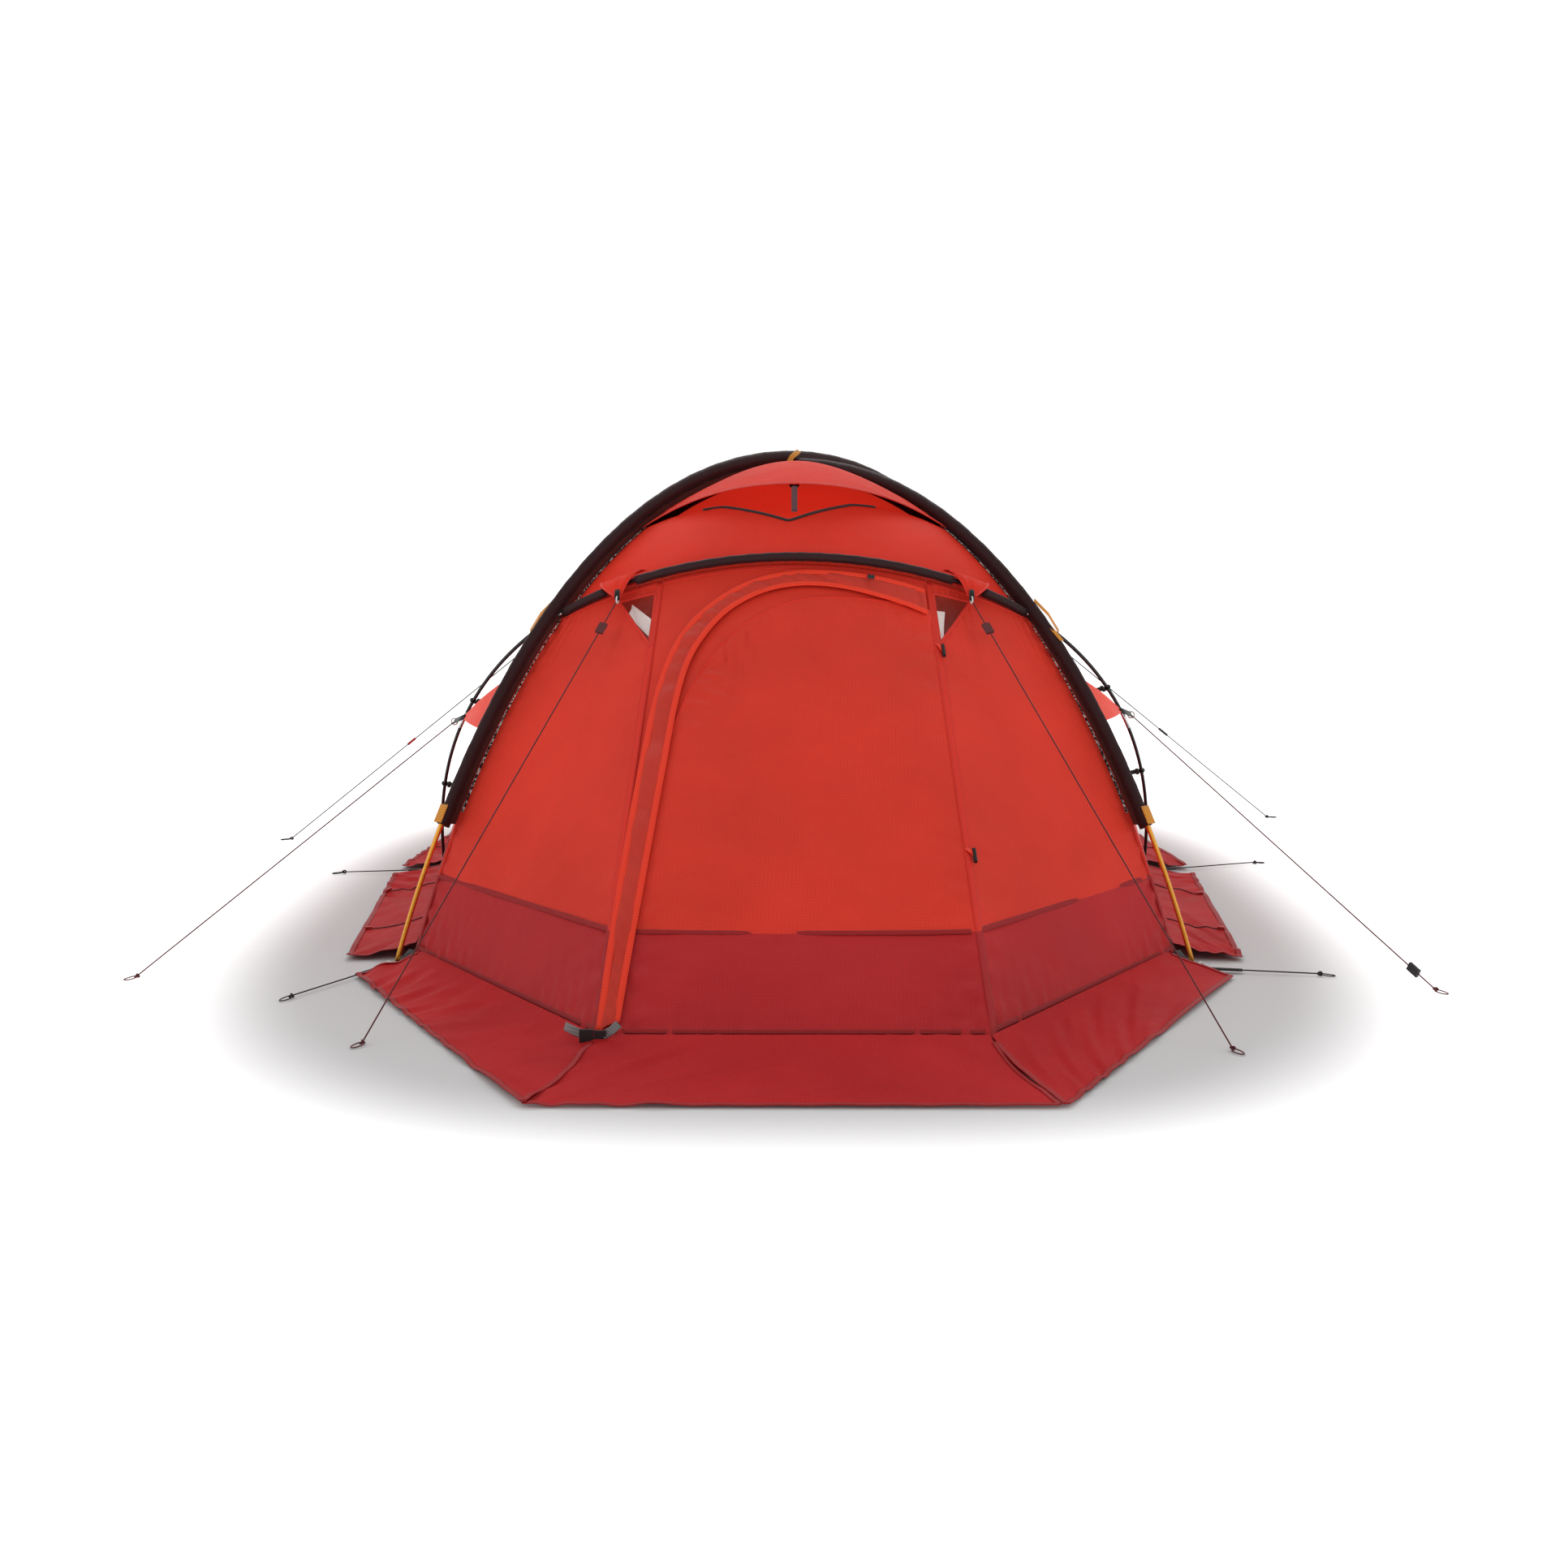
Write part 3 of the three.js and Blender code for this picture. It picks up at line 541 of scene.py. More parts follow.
def cloth(name, color, roughness=0.6, band=None, sheen=0.0, bump=0.35, vary=0.1, specular=0.16):
    """Coated cloth: fine ripstop weave, faint colour variation, soft creases, and a darker band if asked."""
    material, tree, shader = principled(name, color, roughness, sheen=sheen, specular=specular)
    link = tree.links.new
    blotch = placed(tree, "ShaderNodeTexNoise", in_Scale=3.2, in_Detail=5.0, in_Roughness=0.55)
    fine = placed(tree, "ShaderNodeTexNoise", in_Scale=60.0, in_Detail=4.0, in_Roughness=0.6)
    crease = placed(
        tree, "ShaderNodeTexNoise", in_Scale=7.0, in_Detail=3.0, in_Roughness=0.45, in_Distortion=0.6
    )
    base = node(tree, "ShaderNodeRGB")
    base.outputs[0].default_value = (*color, 1)
    current = base.outputs[0]
    if band is not None:
        height = node(tree, "ShaderNodeAttribute", attribute_name="height")
        below = node(tree, "ShaderNodeMath", operation="LESS_THAN")
        below.inputs[1].default_value = BAND_HEIGHT
        link(height.outputs["Fac"], below.inputs[0])
        two = node(tree, "ShaderNodeMix", data_type="RGBA")
        link(below.outputs[0], two.inputs["Factor"])
        link(current, two.inputs[6])
        two.inputs[7].default_value = (*band, 1)
        current = two.outputs[2]
    shade = node(tree, "ShaderNodeVectorMath", operation="SCALE")
    link(current, shade.inputs[0])
    link(ramp_of(tree, blotch.outputs[0], 1 - vary, 1 + vary, 0.3, 0.7), shade.inputs["Scale"])
    # the ripstop grid is a slightly darker thread every few millimetres
    uv = node(tree, "ShaderNodeUVMap")
    cells = node(tree, "ShaderNodeTexBrick", offset=0.0, squash=1.0)
    settings = (("Scale", 125.0), ("Mortar Size", 0.05), ("Brick Width", 1.0), ("Row Height", 1.0))
    for key, value in settings:
        cells.inputs[key].default_value = value
    for key, value in (("Color1", 1.0), ("Color2", 0.985), ("Mortar", 0.86)):
        cells.inputs[key].default_value = (value, value, value, 1)
    link(uv.outputs["UV"], cells.inputs["Vector"])
    threads = node(tree, "ShaderNodeVectorMath", operation="MULTIPLY")
    link(shade.outputs[0], threads.inputs[0])
    link(cells.outputs["Color"], threads.inputs[1])
    link(threads.outputs[0], shader.inputs["Base Color"])
    weave = node(tree, "ShaderNodeMath", operation="MULTIPLY")
    for i, direction in enumerate("XY"):
        yarn = node(tree, "ShaderNodeTexWave", wave_type="BANDS", bands_direction=direction)
        yarn.inputs["Scale"].default_value = 115.0
        link(uv.outputs["UV"], yarn.inputs["Vector"])
        link(yarn.outputs["Fac"], weave.inputs[i])
    woven_normal = bump_of(tree, weave.outputs[0], bump * 0.5, 0.0004)
    link(bump_of(tree, crease.outputs[0], bump, 0.018, woven_normal), shader.inputs["Normal"])
    link(ramp_of(tree, fine.outputs[0], roughness - 0.07, roughness + 0.07), shader.inputs["Roughness"])
    return material


def metal(name, color, roughness, metallic=1.0):
    """Anodised tube with faint scuffs."""
    material, tree, shader = principled(name, color, roughness, metallic, coat=0.2)
    scuff = placed(tree, "ShaderNodeTexNoise", in_Scale=90.0, in_Detail=6.0, in_Roughness=0.65)
    tree.links.new(
        ramp_of(tree, scuff.outputs[0], roughness * 0.7, roughness * 1.4), shader.inputs["Roughness"]
    )
    shaded(tree, shader, color, ramp_of(tree, scuff.outputs[0], 0.85, 1.1))
    return material


def woven(name, color, roughness=0.8, scale=70.0, vary=0.2):
    """Webbing, cord and binding tape: a coarse diagonal weave."""
    material, tree, shader = principled(name, color, roughness, sheen=0.2, specular=0.3)
    wave = placed(tree, "ShaderNodeTexWave", wave_type="BANDS", bands_direction="DIAGONAL")
    wave.inputs["Scale"].default_value = scale
    wave.inputs["Distortion"].default_value = 1.5
    shaded(tree, shader, color, ramp_of(tree, wave.outputs["Fac"], 1 - vary, 1 + vary))
    tree.links.new(bump_of(tree, wave.outputs["Fac"], 0.5, 0.0006), shader.inputs["Normal"])
    return material


def plastic(name, color, roughness=0.4):
    """Moulded plastic with a fine grain."""
    material, tree, shader = principled(name, color, roughness, specular=0.45)
    grain = placed(tree, "ShaderNodeTexNoise", in_Scale=500.0, in_Detail=3.0)
    tree.links.new(bump_of(tree, grain.outputs[0], 0.15, 0.0002), shader.inputs["Normal"])
    tree.links.new(
        ramp_of(tree, grain.outputs[0], roughness - 0.08, roughness + 0.08), shader.inputs["Roughness"]
    )
    return material


def speckled(name):
    """Dark mesh with painted pale specks that stand in for the light behind it showing through."""
    material, tree, shader = principled(name, (0.1, 0.05, 0.05), 0.8, specular=0.1)
    speck = placed(tree, "ShaderNodeTexNoise", in_Scale=170.0, in_Detail=2.0)
    shaded(tree, shader, (0.7, 0.66, 0.64), ramp_of(tree, speck.outputs[0], 0.02, 1.0, 0.48, 0.6))
    return material


def clear(name, color, alpha):
    """Crumpled clear film."""
    material, tree, shader = principled(name, color, 0.12, specular=0.6, coat=0.5)
    shader.inputs["Alpha"].default_value = alpha
    crumple = placed(tree, "ShaderNodeTexNoise", in_Scale=28.0, in_Detail=2.0, in_Distortion=1.2)
    tree.links.new(bump_of(tree, crumple.outputs[0], 0.8, 0.01), shader.inputs["Normal"])
    return material


shell = cloth("shell", linear(226, 58, 42), band=linear(190, 42, 45))
# The roof's colour is a slightly lighter copy of the shell's: painted light on the roof, its hood and its
# peaks.
lit_roof_cloth = cloth("shell_roof_lit", linear(232, 56, 40), specular=0.06)
hem_tape = cloth(
    "hem_tape", linear(226, 52, 38), band=linear(178, 38, 41), roughness=0.55, bump=0.15, vary=0.05
)
band_tape = cloth("band_tape", linear(165, 34, 37), roughness=0.55, bump=0.15, vary=0.05)
flap_cloth = cloth("flap", linear(208, 60, 46), roughness=0.5, bump=0.2, vary=0.08)
bright_edge = cloth("bound_edge", linear(248, 66, 42), roughness=0.5, bump=0.1, vary=0.05)
skirt_cloth = cloth("skirt", linear(188, 36, 39), bump=0.5, vary=0.12, specular=0.06)
sleeve_cloth = cloth(
    "sleeve", linear(46, 17, 20), roughness=0.55, sheen=0.04, bump=0.3, vary=0.12, specular=0.25
)
mesh_strip = cloth("mesh_strip", linear(92, 44, 40), roughness=0.8, bump=0.2, vary=0.4)
mottled = speckled("mottled_mesh")
inner_cloth = cloth("inner", linear(232, 226, 216), roughness=0.8, bump=0.4, vary=0.04)
# A lighter copy of the inner cloth that glows: painted light for the inner cloth seen through the windows.
glowing_inner_cloth = cloth("inner_lit", linear(240, 236, 228), roughness=0.8, bump=0.4, vary=0.04)
glow(glowing_inner_cloth, (1.0, 0.93, 0.9), 0.35)
floor_cloth = cloth("floor_cloth", linear(84, 34, 36), roughness=0.6)
glowing_inside_cloth = cloth("inside", linear(222, 70, 44), roughness=0.8, bump=0.6, vary=0.2)
gold = metal("gold", linear(232, 160, 62), 0.28)
black_pole = metal("black_pole", linear(26, 26, 28), 0.35, 0.6)
steel = metal("steel", linear(196, 196, 198), 0.25)
black_web = woven("black_web", linear(24, 22, 23))
amber_web = woven("amber_web", linear(214, 140, 40), 0.7)
grey_web = woven("grey_web", linear(120, 116, 116), 0.5)
prop_cloth = woven("prop_cloth", linear(92, 62, 68), 0.6)
cord_red = woven("cord_red", linear(92, 22, 26), 0.7, 150.0)
cord_black = woven("cord_black", linear(34, 20, 22), 0.7, 150.0)
thread = woven("thread", linear(160, 40, 32), 0.7, 150.0, 0.1)
thread_dark = woven("thread_dark", linear(110, 36, 38), 0.7, 150.0, 0.1)
black_plastic = plastic("black_plastic", linear(22, 22, 24))
white_plastic = plastic("white_plastic", linear(222, 220, 214), 0.35)
red_plastic = plastic("red_plastic", linear(176, 40, 34), 0.35)
# painted light: the cloth seen inside the vent glows, standing in for light coming through the shell
glow(glowing_inside_cloth, linear(206, 52, 34), 0.45)
film = clear("clear_film", linear(150, 46, 34), 0.2)

# ------------------------------------------------------------------ camera and light

scene = bpy.context.scene
scene.view_settings.view_transform = "Standard"
camera_data = bpy.data.cameras.new("camera")
camera_data.lens = 45.155
camera_data.sensor_width = 36.0
camera_data.clip_end = 60.0
camera = bpy.data.objects.new("camera", camera_data)
camera.location = (-0.0039, -4.8551, 1.0476)
camera.rotation_euler = (math.radians(90 - 8.611), 0, math.radians(0.2526))
scene.collection.objects.link(camera)
scene.camera = camera

world = bpy.data.worlds.new("studio")
world.use_nodes = True
background = world.node_tree.nodes["Background"]
background.inputs["Color"].default_value = (1.0, 1.0, 1.0, 1)
direction = node(world.node_tree, "ShaderNodeTexCoord")
parts = node(world.node_tree, "ShaderNodeSeparateXYZ")
world.node_tree.links.new(direction.outputs["Generated"], parts.inputs[0])
# the backdrop behind the tent is bright, and the room is dimmer all round
backdrop = ramp_of(world.node_tree, parts.outputs["Y"], 0.4, 1.03, 0.45, 0.8)
world.node_tree.links.new(backdrop, background.inputs["Strength"])
scene.world = world

FLOOR_HALF, FLOOR_STEPS = 40.0, 9
# The painted shadow round the tent's foot, where the floor does not glow: a rounded box of these half sides,
# whose corners have this power.
SHADOW_X, SHADOW_Y, SHADOW_POWER = 1.13, 1.62, 2.8


def studio_floor_material():
    """A pale floor that glows away from the tent: painted light, which leaves a painted shadow round its
    foot.
    """
    material, tree, shader = principled("studio_floor", (0.68, 0.68, 0.68), 0.95, specular=0.05)
    link = tree.links.new

    def math_node(operation, source=None, value=None):
        made = node(tree, "ShaderNodeMath", operation=operation)
        if source is not None:
            link(source, made.inputs[0])
        if value is not None:
            made.inputs[1].default_value = value
        return made

    place = node(tree, "ShaderNodeTexCoord")
    scaled = node(tree, "ShaderNodeVectorMath", operation="MULTIPLY")
    link(place.outputs["Object"], scaled.inputs[0])
    scaled.inputs[1].default_value = (1 / SHADOW_X, 1 / SHADOW_Y, 0)
    sides = node(tree, "ShaderNodeSeparateXYZ")
    link(scaled.outputs[0], sides.inputs[0])
    total = math_node("ADD")
    for i, side in enumerate("XY"):
        size = math_node("ABSOLUTE", sides.outputs[side])
        link(math_node("POWER", size.outputs[0], SHADOW_POWER).outputs[0], total.inputs[i])
    far = math_node("POWER", total.outputs[0], 1 / SHADOW_POWER)
    # painted light: the floor's glow rises from nothing at the rounded box to full outside it, so the shadow
    # round the tent is painted
    painted_glow = node(tree, "ShaderNodeMapRange", interpolation_type="SMOOTHSTEP")
    for key, value in (("From Min", 0.96), ("From Max", 1.3), ("To Min", 0.0), ("To Max", 0.95)):
        painted_glow.inputs[key].default_value = value
    link(far.outputs[0], painted_glow.inputs["Value"])
    shader.inputs["Emission Color"].default_value = (1, 1, 1, 1)
    link(painted_glow.outputs["Result"], shader.inputs["Emission Strength"])
    return material


ticks = np.linspace(-FLOOR_HALF, FLOOR_HALF, FLOOR_STEPS)
floor_x, floor_y = np.meshgrid(ticks, ticks)
floor_points = np.stack((floor_x, floor_y, np.full_like(floor_x, -0.0006)), axis=2).reshape(-1, 3)
floor_faces = grid_faces(FLOOR_STEPS, FLOOR_STEPS)
studio_floor = make("studio_floor", floor_points, floor_faces, studio_floor_material())


def area_light(name, place, target, size, power):
    """A rectangular light that points at a target."""
    data = bpy.data.lights.new(name, "AREA")
    data.shape = "RECTANGLE"
    data.size, data.size_y = size
    data.energy = power
    light = bpy.data.objects.new(name, data)
    light.location = place
    light.rotation_euler = (Vector(target) - Vector(place)).to_track_quat("-Z", "Y").to_euler()
    scene.collection.objects.link(light)
    return light


lights = [
    area_light("back", (0.0, 3.6, 5.2), (0, 0.2, 0), (6.0, 4.0), 112),
    area_light("left", (-4.5, -2.0, 3.0), (0, 0, 0.4), (2.0, 3.0), 36),
    area_light("right", (4.5, -2.0, 3.0), (0, 0, 0.4), (2.0, 3.0), 36),
    area_light("front", (0.0, -5.5, 4.5), (0, -1.5, 0.2), (7.0, 2.0), 44),
]

# ------------------------------------------------------------------ guy lines

LOOP = 0.006
CORD = 0.003
guys = {
    "guy_front_left": ((-0.404, -0.792, 0.790), (-0.819, -1.678, LOOP)),
    "guy_front_right": ((0.404, -0.792, 0.790), (0.821, -1.714, LOOP)),
    "guy_side_left": ((-0.846, -0.428, 0.468), (-1.414, -1.170, LOOP)),
    "guy_side_right": ((0.834, -0.447, 0.488), (1.342, -1.275, LOOP)),
    "guy_rear_left": ((-0.640, 0.775, 0.700), (-1.502, 0.501, LOOP)),
    "guy_rear_right": ((0.640, 0.775, 0.700), (1.508, 0.907, LOOP)),
    "stake_hoop_left": ((-0.985, 0, 0.009), (-1.226, -0.021, LOOP)),
    "stake_hoop_right": ((0.985, 0, 0.009), (1.289, 0.130, LOOP)),
    "stake_foot_left": ((-0.905, -1.108, 0.008), (-1.039, -1.338, LOOP)),
    "stake_foot_right": ((0.905, -1.108, 0.008), (1.134, -1.144, LOOP)),
}


def knot(name, centre, along, material, radius=0.006):
    """A small overhand knot with its loop lying beyond it."""
    flat = unit(np.asarray(along, float) * (1, 1, 0))
    side = np.array((-flat[1], flat[0], 0))
    a = np.linspace(0, 2 * math.pi * 0.97, 26)
    turn = np.stack(
        (np.cos(a) * radius * 0.7, np.sin(2 * a) * radius * 0.45, np.sin(a) * radius * 0.6), axis=1
    )
    core = centre + turn @ np.stack((flat, side, (0, 0, 1)))
    core[:, 2] = np.maximum(core[:, 2], 0.003)
    wrap = tube(name + "_turn", core, 0.0021, material, 8)
    b = np.linspace(0, 2 * math.pi, 30)
    loop = centre + flat * (0.016 * (1 - np.cos(b)))[:, None] + side * (0.008 * np.sin(b))[:, None]
    loop[:, 2] = 0.0026 + (centre[2] - 0.0026) * np.clip(np.cos(b / 2) ** 4, 0, 1)
    ring = tube(name + "_loop", loop[:-1], 0.0013, material, 8)
    return join(name, [wrap, ring])


for name, (start, end) in guys.items():
    start, end = np.array(start), np.array(end)
    along = unit(end - start)
    material = cord_black if "rear" in name or "stake" in name else cord_red
    curve = bpy.data.curves.new(name + "_line", "CURVE")
    curve.dimensions = "3D"
    curve.bevel_depth = CORD / 2
    curve.bevel_resolution = 3
    spline = curve.splines.new("POLY")
    places = start + (end - start) * np.linspace(0, 1, 16)[:, None] + MIDDLE
    spline.points.add(len(places) - 1)
    for point, place in zip(spline.points, places):
        point.co = (*place, 1)
    curve.materials.append(material)
    cord_piece = bpy.data.objects.new(name + "_line", curve)
    scene.collection.objects.link(cord_piece)
    knot_piece = knot(name + "_knot", end + along * 0.002, along, material)
    ride(cord_piece, "tent", [name])
    if "stake" in name:
        web_path = start + along * np.linspace(-0.004, 0.07, 10)[:, None]
        ride(tube(name + "_web", web_path, 0.0085, black_web, 12, flat=0.34), "tent")
    ride(knot_piece, "tent")

# ------------------------------------------------------------------ poles, sleeves

# Pole radii, and where a main sleeve starts along its pole.
MAIN_RADIUS, HOOP_RADIUS, SLEEVE_END = 0.0055, 0.0045, 0.205
mains = {
    "main_pole_a": (main_half(-1, -1, 0, 0.01), main_half(1, 1, 0, 0.01)),
    "main_pole_b": (main_half(1, -1, 0, -0.01), main_half(-1, 1, 0, -0.01)),
}
RADIAL = {"main_pole_a": (MAIN_Y, -MAIN_X, 0), "main_pole_b": (MAIN_Y, MAIN_X, 0)}


def pole_piece(name, path, sideways, radius, material, foot_metal):
    """A jointed pole: round tube, a ferrule ring at each joint, and a tip at each end."""
    up = np.cross(np.gradient(path, axis=0), sideways)
    pieces = [tube(name + "_tube", path, radius, material, 16, up)]
    count = len(path)
    for k in range(1, 8):
        i = int(k * count / 8)
        pieces.append(
            tube(
                f"{name}_ferrule_{k}", path[i - 1 : i + 2], radius * 1.08, foot_metal, 16, up[i - 1 : i + 2]
            )
        )
    for i, end in ((0, 1), (-1, -2)):
        direction = path[i] - path[end]
        direction = unit(direction)
        tip = path[i] - direction * 0.004 + np.outer(np.linspace(-0.004, 0.011, 8), direction)
        tip[:, 2] = np.maximum(tip[:, 2], 0.0015)
        pieces.append(
            tube(
                f"{name}_tip_{end}", tip, radius * 0.8, foot_metal, 12, (1, 0.2, 0), np.linspace(1, 0.5, 8)
            )
        )
    return join(name + "_round", pieces)


def whole_path(first, second, start, count):
    """Points from one foot, over the top, to the other, evenly spaced in the curve's own number."""
    t = np.linspace(start, 2 - start, count)
    return np.where((t <= 1)[:, None], first(np.minimum(t, 1)), second(np.minimum(2 - t, 1)))


for name, (first, second) in mains.items():
    path = whole_path(first, second, 0.009, 141)
    piece = pole_piece(name, path, RADIAL[name], MAIN_RADIUS, gold, steel)
    ride(piece, "tent", [name])
    # The sleeve is a flattened tube, slightly puckered, with a stitched seam along its inner side.
    path = whole_path(first, second, SLEEVE_END, 260)
    up = np.cross(np.gradient(path, axis=0), RADIAL[name])
    up = np.where(up[:, 2:3] < 0, -up, up)
    across, normal = frames(path, up)
    pucker = 1 + 0.03 * np.sin(np.arange(260) * 0.9) + 0.02 * np.sin(np.arange(260) * 2.3)
    # the section is a drop: round over the pole, drawn in to a flat seam allowance below it
    turn = np.linspace(0, 2 * math.pi, 24, endpoint=False)
    drop = np.where(np.sin(turn) < 0, 0.62 + 0.38 * np.cos(turn) ** 2, 1.0)
    ring = np.stack((0.0125 * np.cos(turn) * drop, -0.006 + 0.0175 * np.sin(turn)), axis=1)
    sleeve = sweep(name + "_sleeve_tube", path, across, normal, ring, sleeve_cloth, pucker)
    seams = [
        stitches(
            name + f"_seam_{s}", path + across * s * 0.0088 - normal * 0.016, across * s, 0, black_web,
            0.008, 0.0007, 0.0004
        )
        for s in (-1, 1)
    ]
    ends = [
        strip(name + f"_cuff_{i}", path[part], normal[part], 0.024, amber_web, 0.0016, 0.0, 0.0118)
        for i, part in enumerate((slice(0, 5), slice(-5, None)))
    ]
    if name.endswith("a"):
        band_path = np.array(
            (
                (-0.030, -0.062, 1.076), (-0.020, -0.052, 1.100), (-0.006, -0.036, 1.124),
                (0.012, -0.018, 1.139)
            )
        )
        ends.append(strip("top_band", band_path, (0.1, -0.85, 0.5), 0.014, amber_web, 0.0016))
    sleeve = join(name + "_sleeve_cloth", [sleeve] + seams + ends)
    ride(sleeve, "tent", [name.replace("pole", "sleeve")])
    # A strip of mesh joins the sleeve to the fly.
    for tag, side, curve in (("front", -1, first), ("rear", 1, second)):
        sx = (-1 if name.endswith("a") else 1) * (1 if side == -1 else -1)
        inner = main_shell(sx, side)
        t = np.linspace(SLEEVE_END, 1.0, 130)
        low, high = inner(t), curve(t)
        rows = np.stack([low + (high - low) * s for s in np.linspace(0, 0.82, 5)])
        web = grid_piece(f"{name}_web_{tag}", rows, mesh_strip)
        ride(web, "tent")
        declare_sheet(web)

for name, side_y in (("hoop_pole_front", -1), ("hoop_pole_rear", 1)):
    first, second = hoop_half(-1, side_y), hoop_half(1, side_y)
    path = whole_path(first, second, 0.005, 141)
    sideways = (0, LEAN_COS, side_y * LEAN_SIN)
    piece = pole_piece(name, path, sideways, HOOP_RADIUS, black_pole, steel)
    ride(piece, "tent", [name])
    pieces = []
    # where cloth covers the hoop, as places from one foot, 0, to the other, 2
    spans = [(0.656, 1.344), (0.511, 0.596), (1.404, 1.489)]
    for i, (start, end) in enumerate(spans):
        t = np.linspace(start, end, 90 if i == 0 else 16)
        part = np.where((t <= 1)[:, None], first(np.minimum(t, 1)), second(np.minimum(2 - t, 1)))
        across, normal = frames(part, part)
        ring = circle(0.0105, 16) * (0.95, 1) + (0, -0.002)
        puck = 1 + 0.04 * np.sin(np.arange(len(t)) * 1.1)
        pieces.append(sweep(f"{name}_sleeve_{i}", part, across, normal, ring, sleeve_cloth, puck))
        rows = np.stack([part - normal * 0.006, part - normal * 0.016])
        pieces.append(grid_piece(f"{name}_sleeve_web_{i}", rows, hem_tape))
    sleeve = join(name + "_sleeves", pieces)
    ride(sleeve, "tent", ["hoop_sleeve_front"] if side_y < 0 else [])

# ------------------------------------------------------------------ fly panels

WINDOW = np.array(((0.62, 0.97), (0.965, 0.97), (0.985, 0.835)))
MIRRORED_WINDOW = np.stack((1 - WINDOW[:, 0], WINDOW[:, 1]), axis=1)


def in_triangle(u, v, triangle):
    """Which places lie in a triangle."""
    def side(p, q):
        return (q[0] - p[0]) * (v - p[1]) - (q[1] - p[1]) * (u - p[0])

    a, b, c = triangle
    d1, d2, d3 = side(a, b), side(b, c), side(c, a)
    return ((d1 <= 0) & (d2 <= 0) & (d3 <= 0)) | ((d1 >= 0) & (d2 >= 0) & (d3 >= 0))


def outside_window(u, v):
    return ~in_triangle(u, v, WINDOW)


def outside_mirrored_window(u, v):
    return ~in_triangle(u, v, MIRRORED_WINDOW)


def roof_edge(u):
    """How high the lower roof panel reaches: it is cut to a V under the vent hood."""
    away = np.sqrt((np.asarray(u) - 0.48) ** 2 + 0.008**2)
    return np.minimum(0.215 + 0.62 * away, 0.215 + 0.17 * (1 - np.exp(-away / 0.14)))


def roof_lower(u, v):
    return roof_front(u, v * roof_edge(u))


def hood_edge(u):
    return 0.385 - 0.075 * np.sin(math.pi * np.asarray(u)) ** 2


def hood(u, v):
    """The vent hood rises away from the roof's curve towards its middle and its front edge."""
    u, v = np.broadcast_arrays(np.asarray(u, float), np.asarray(v, float))
    openness = np.clip((0.985 - v) / (0.985 - hood_edge(u)), 0, 1.2)
    rise = 0.052 * openness * np.clip(np.sin(math.pi * np.clip(u, 0, 1)), 0, 1) ** 1.3 + 0.004 * openness
    return roof_front(u, v) + rise[..., None] * np.array((0, -0.4, 0.9))


def hood_sheet(u, v):
    return hood(u, hood_edge(u) + (0.985 - hood_edge(u)) * v)


PANELS = {
    "roof_front": (roof_lower, lit_roof_cloth, 90, 30, None, 0.0015),
    "roof_rear": (mirror_y(roof_front), lit_roof_cloth, 70, 70, None, 0.003),
    "roof_left": (roof_left, shell, 80, 80, None, 0.003),
    "roof_right": (roof_right, shell, 80, 80, None, 0.003),
    "side_front_left": (side_left, shell, 60, 90, None, 0.003),
    "side_front_right": (mirror_x(side_left), shell, 60, 90, None, 0.003),
    "side_rear_left": (mirror_y(side_left), shell, 60, 60, None, 0.003),
    "side_rear_right": (mirror_x(mirror_y(side_left)), shell, 60, 60, None, 0.003),
    "rear_wall": (rear_wall, shell, 80, 60, None, 0.003),
    "vestibule_left": (vestibule_left, shell, 130, 150, outside_window, 0.004),
    "vestibule_right": (vestibule_right, shell, 130, 150, outside_mirrored_window, 0.004),
}
for name, (surface, material, nu, nv, keep, wrinkle) in PANELS.items():
    panel = cloth_panel(name + "_cloth", surface, material, nu, nv, wrinkle=wrinkle, keep=keep)
    ride(panel, "tent", [name])
    declare_sheet(panel)

vent_back = lifted(roof_front, lambda u, v: -0.02 - 0.035 * np.sin(math.pi * np.clip(u, 0, 1)))
vent_inside = cloth_panel(
    "vent_inside_cloth", vent_back, glowing_inside_cloth, 60, 40, (0.02, 0.98), (0.12, 0.98), 0.006
)
ride(vent_inside)
declare_sheet(vent_inside)
hood_piece = cloth_panel("vent_hood_cloth", hood_sheet, lit_roof_cloth, 90, 50, wrinkle=0.002)
ride(hood_piece, "hood", ["vent_hood"])
declare_sheet(hood_piece)


def peak_points(side_x):
    """The roof's peak: it leaves the roof, crosses over the hoop and narrows to the guy line's ring."""
    k = np.linspace(0, 1, 22)

    def on_roof(t_outer, t_inner, v, rise):
        u = ((t_outer + (t_inner - t_outer) * k) - CROSS_HOOP) / (2 * (1 - CROSS_HOOP))
        surface = roof_front if side_x < 0 else mirror_x(roof_front)
        return lifted(surface, rise)(u if side_x < 0 else 1 - u, np.full_like(u, v))

    top, over = on_roof(0.590, 0.664, 0.05, 0.004), on_roof(0.596, 0.656, 0.008, 0.027)
    tip = np.array(guys["guy_front_left" if side_x < 0 else "guy_front_right"][0]) + (0, 0.003, 0.008)
    spread = np.array((side_x * 0.006, 0, 0)) * (0.5 - k)[:, None] * 2
    s = np.linspace(0, 1, 30)[:, None, None]
    rows = top * (1 - s) * (1 - 2 * s) + over * 4 * s * (1 - s) + (tip + spread) * s * (2 * s - 1)
    pleat = 0.0022 * np.sin(k * 17)[None, :] * np.sin(math.pi * s[..., 0]) ** 1.5
    return rows + pleat[..., None] * np.array((side_x * -0.2, -0.8, 0.55))


for side_x, tag in ((-1, "left"), (1, "right")):
    rows = peak_points(side_x)
    rows = rows if side_x < 0 else rows[:, ::-1]
    canopy = grid_piece(f"canopy_peak_{tag}", rows, lit_roof_cloth)
    ride(canopy, "tent")
    declare_sheet(canopy)
    for i, column in enumerate((0, -1)):
        edge = rows[8:, column]
        ride(
            strip(f"canopy_edge_{tag}_{i}", edge, (0, -0.8, 0.6), 0.006, hem_tape, 0.0014), "tent",
        )

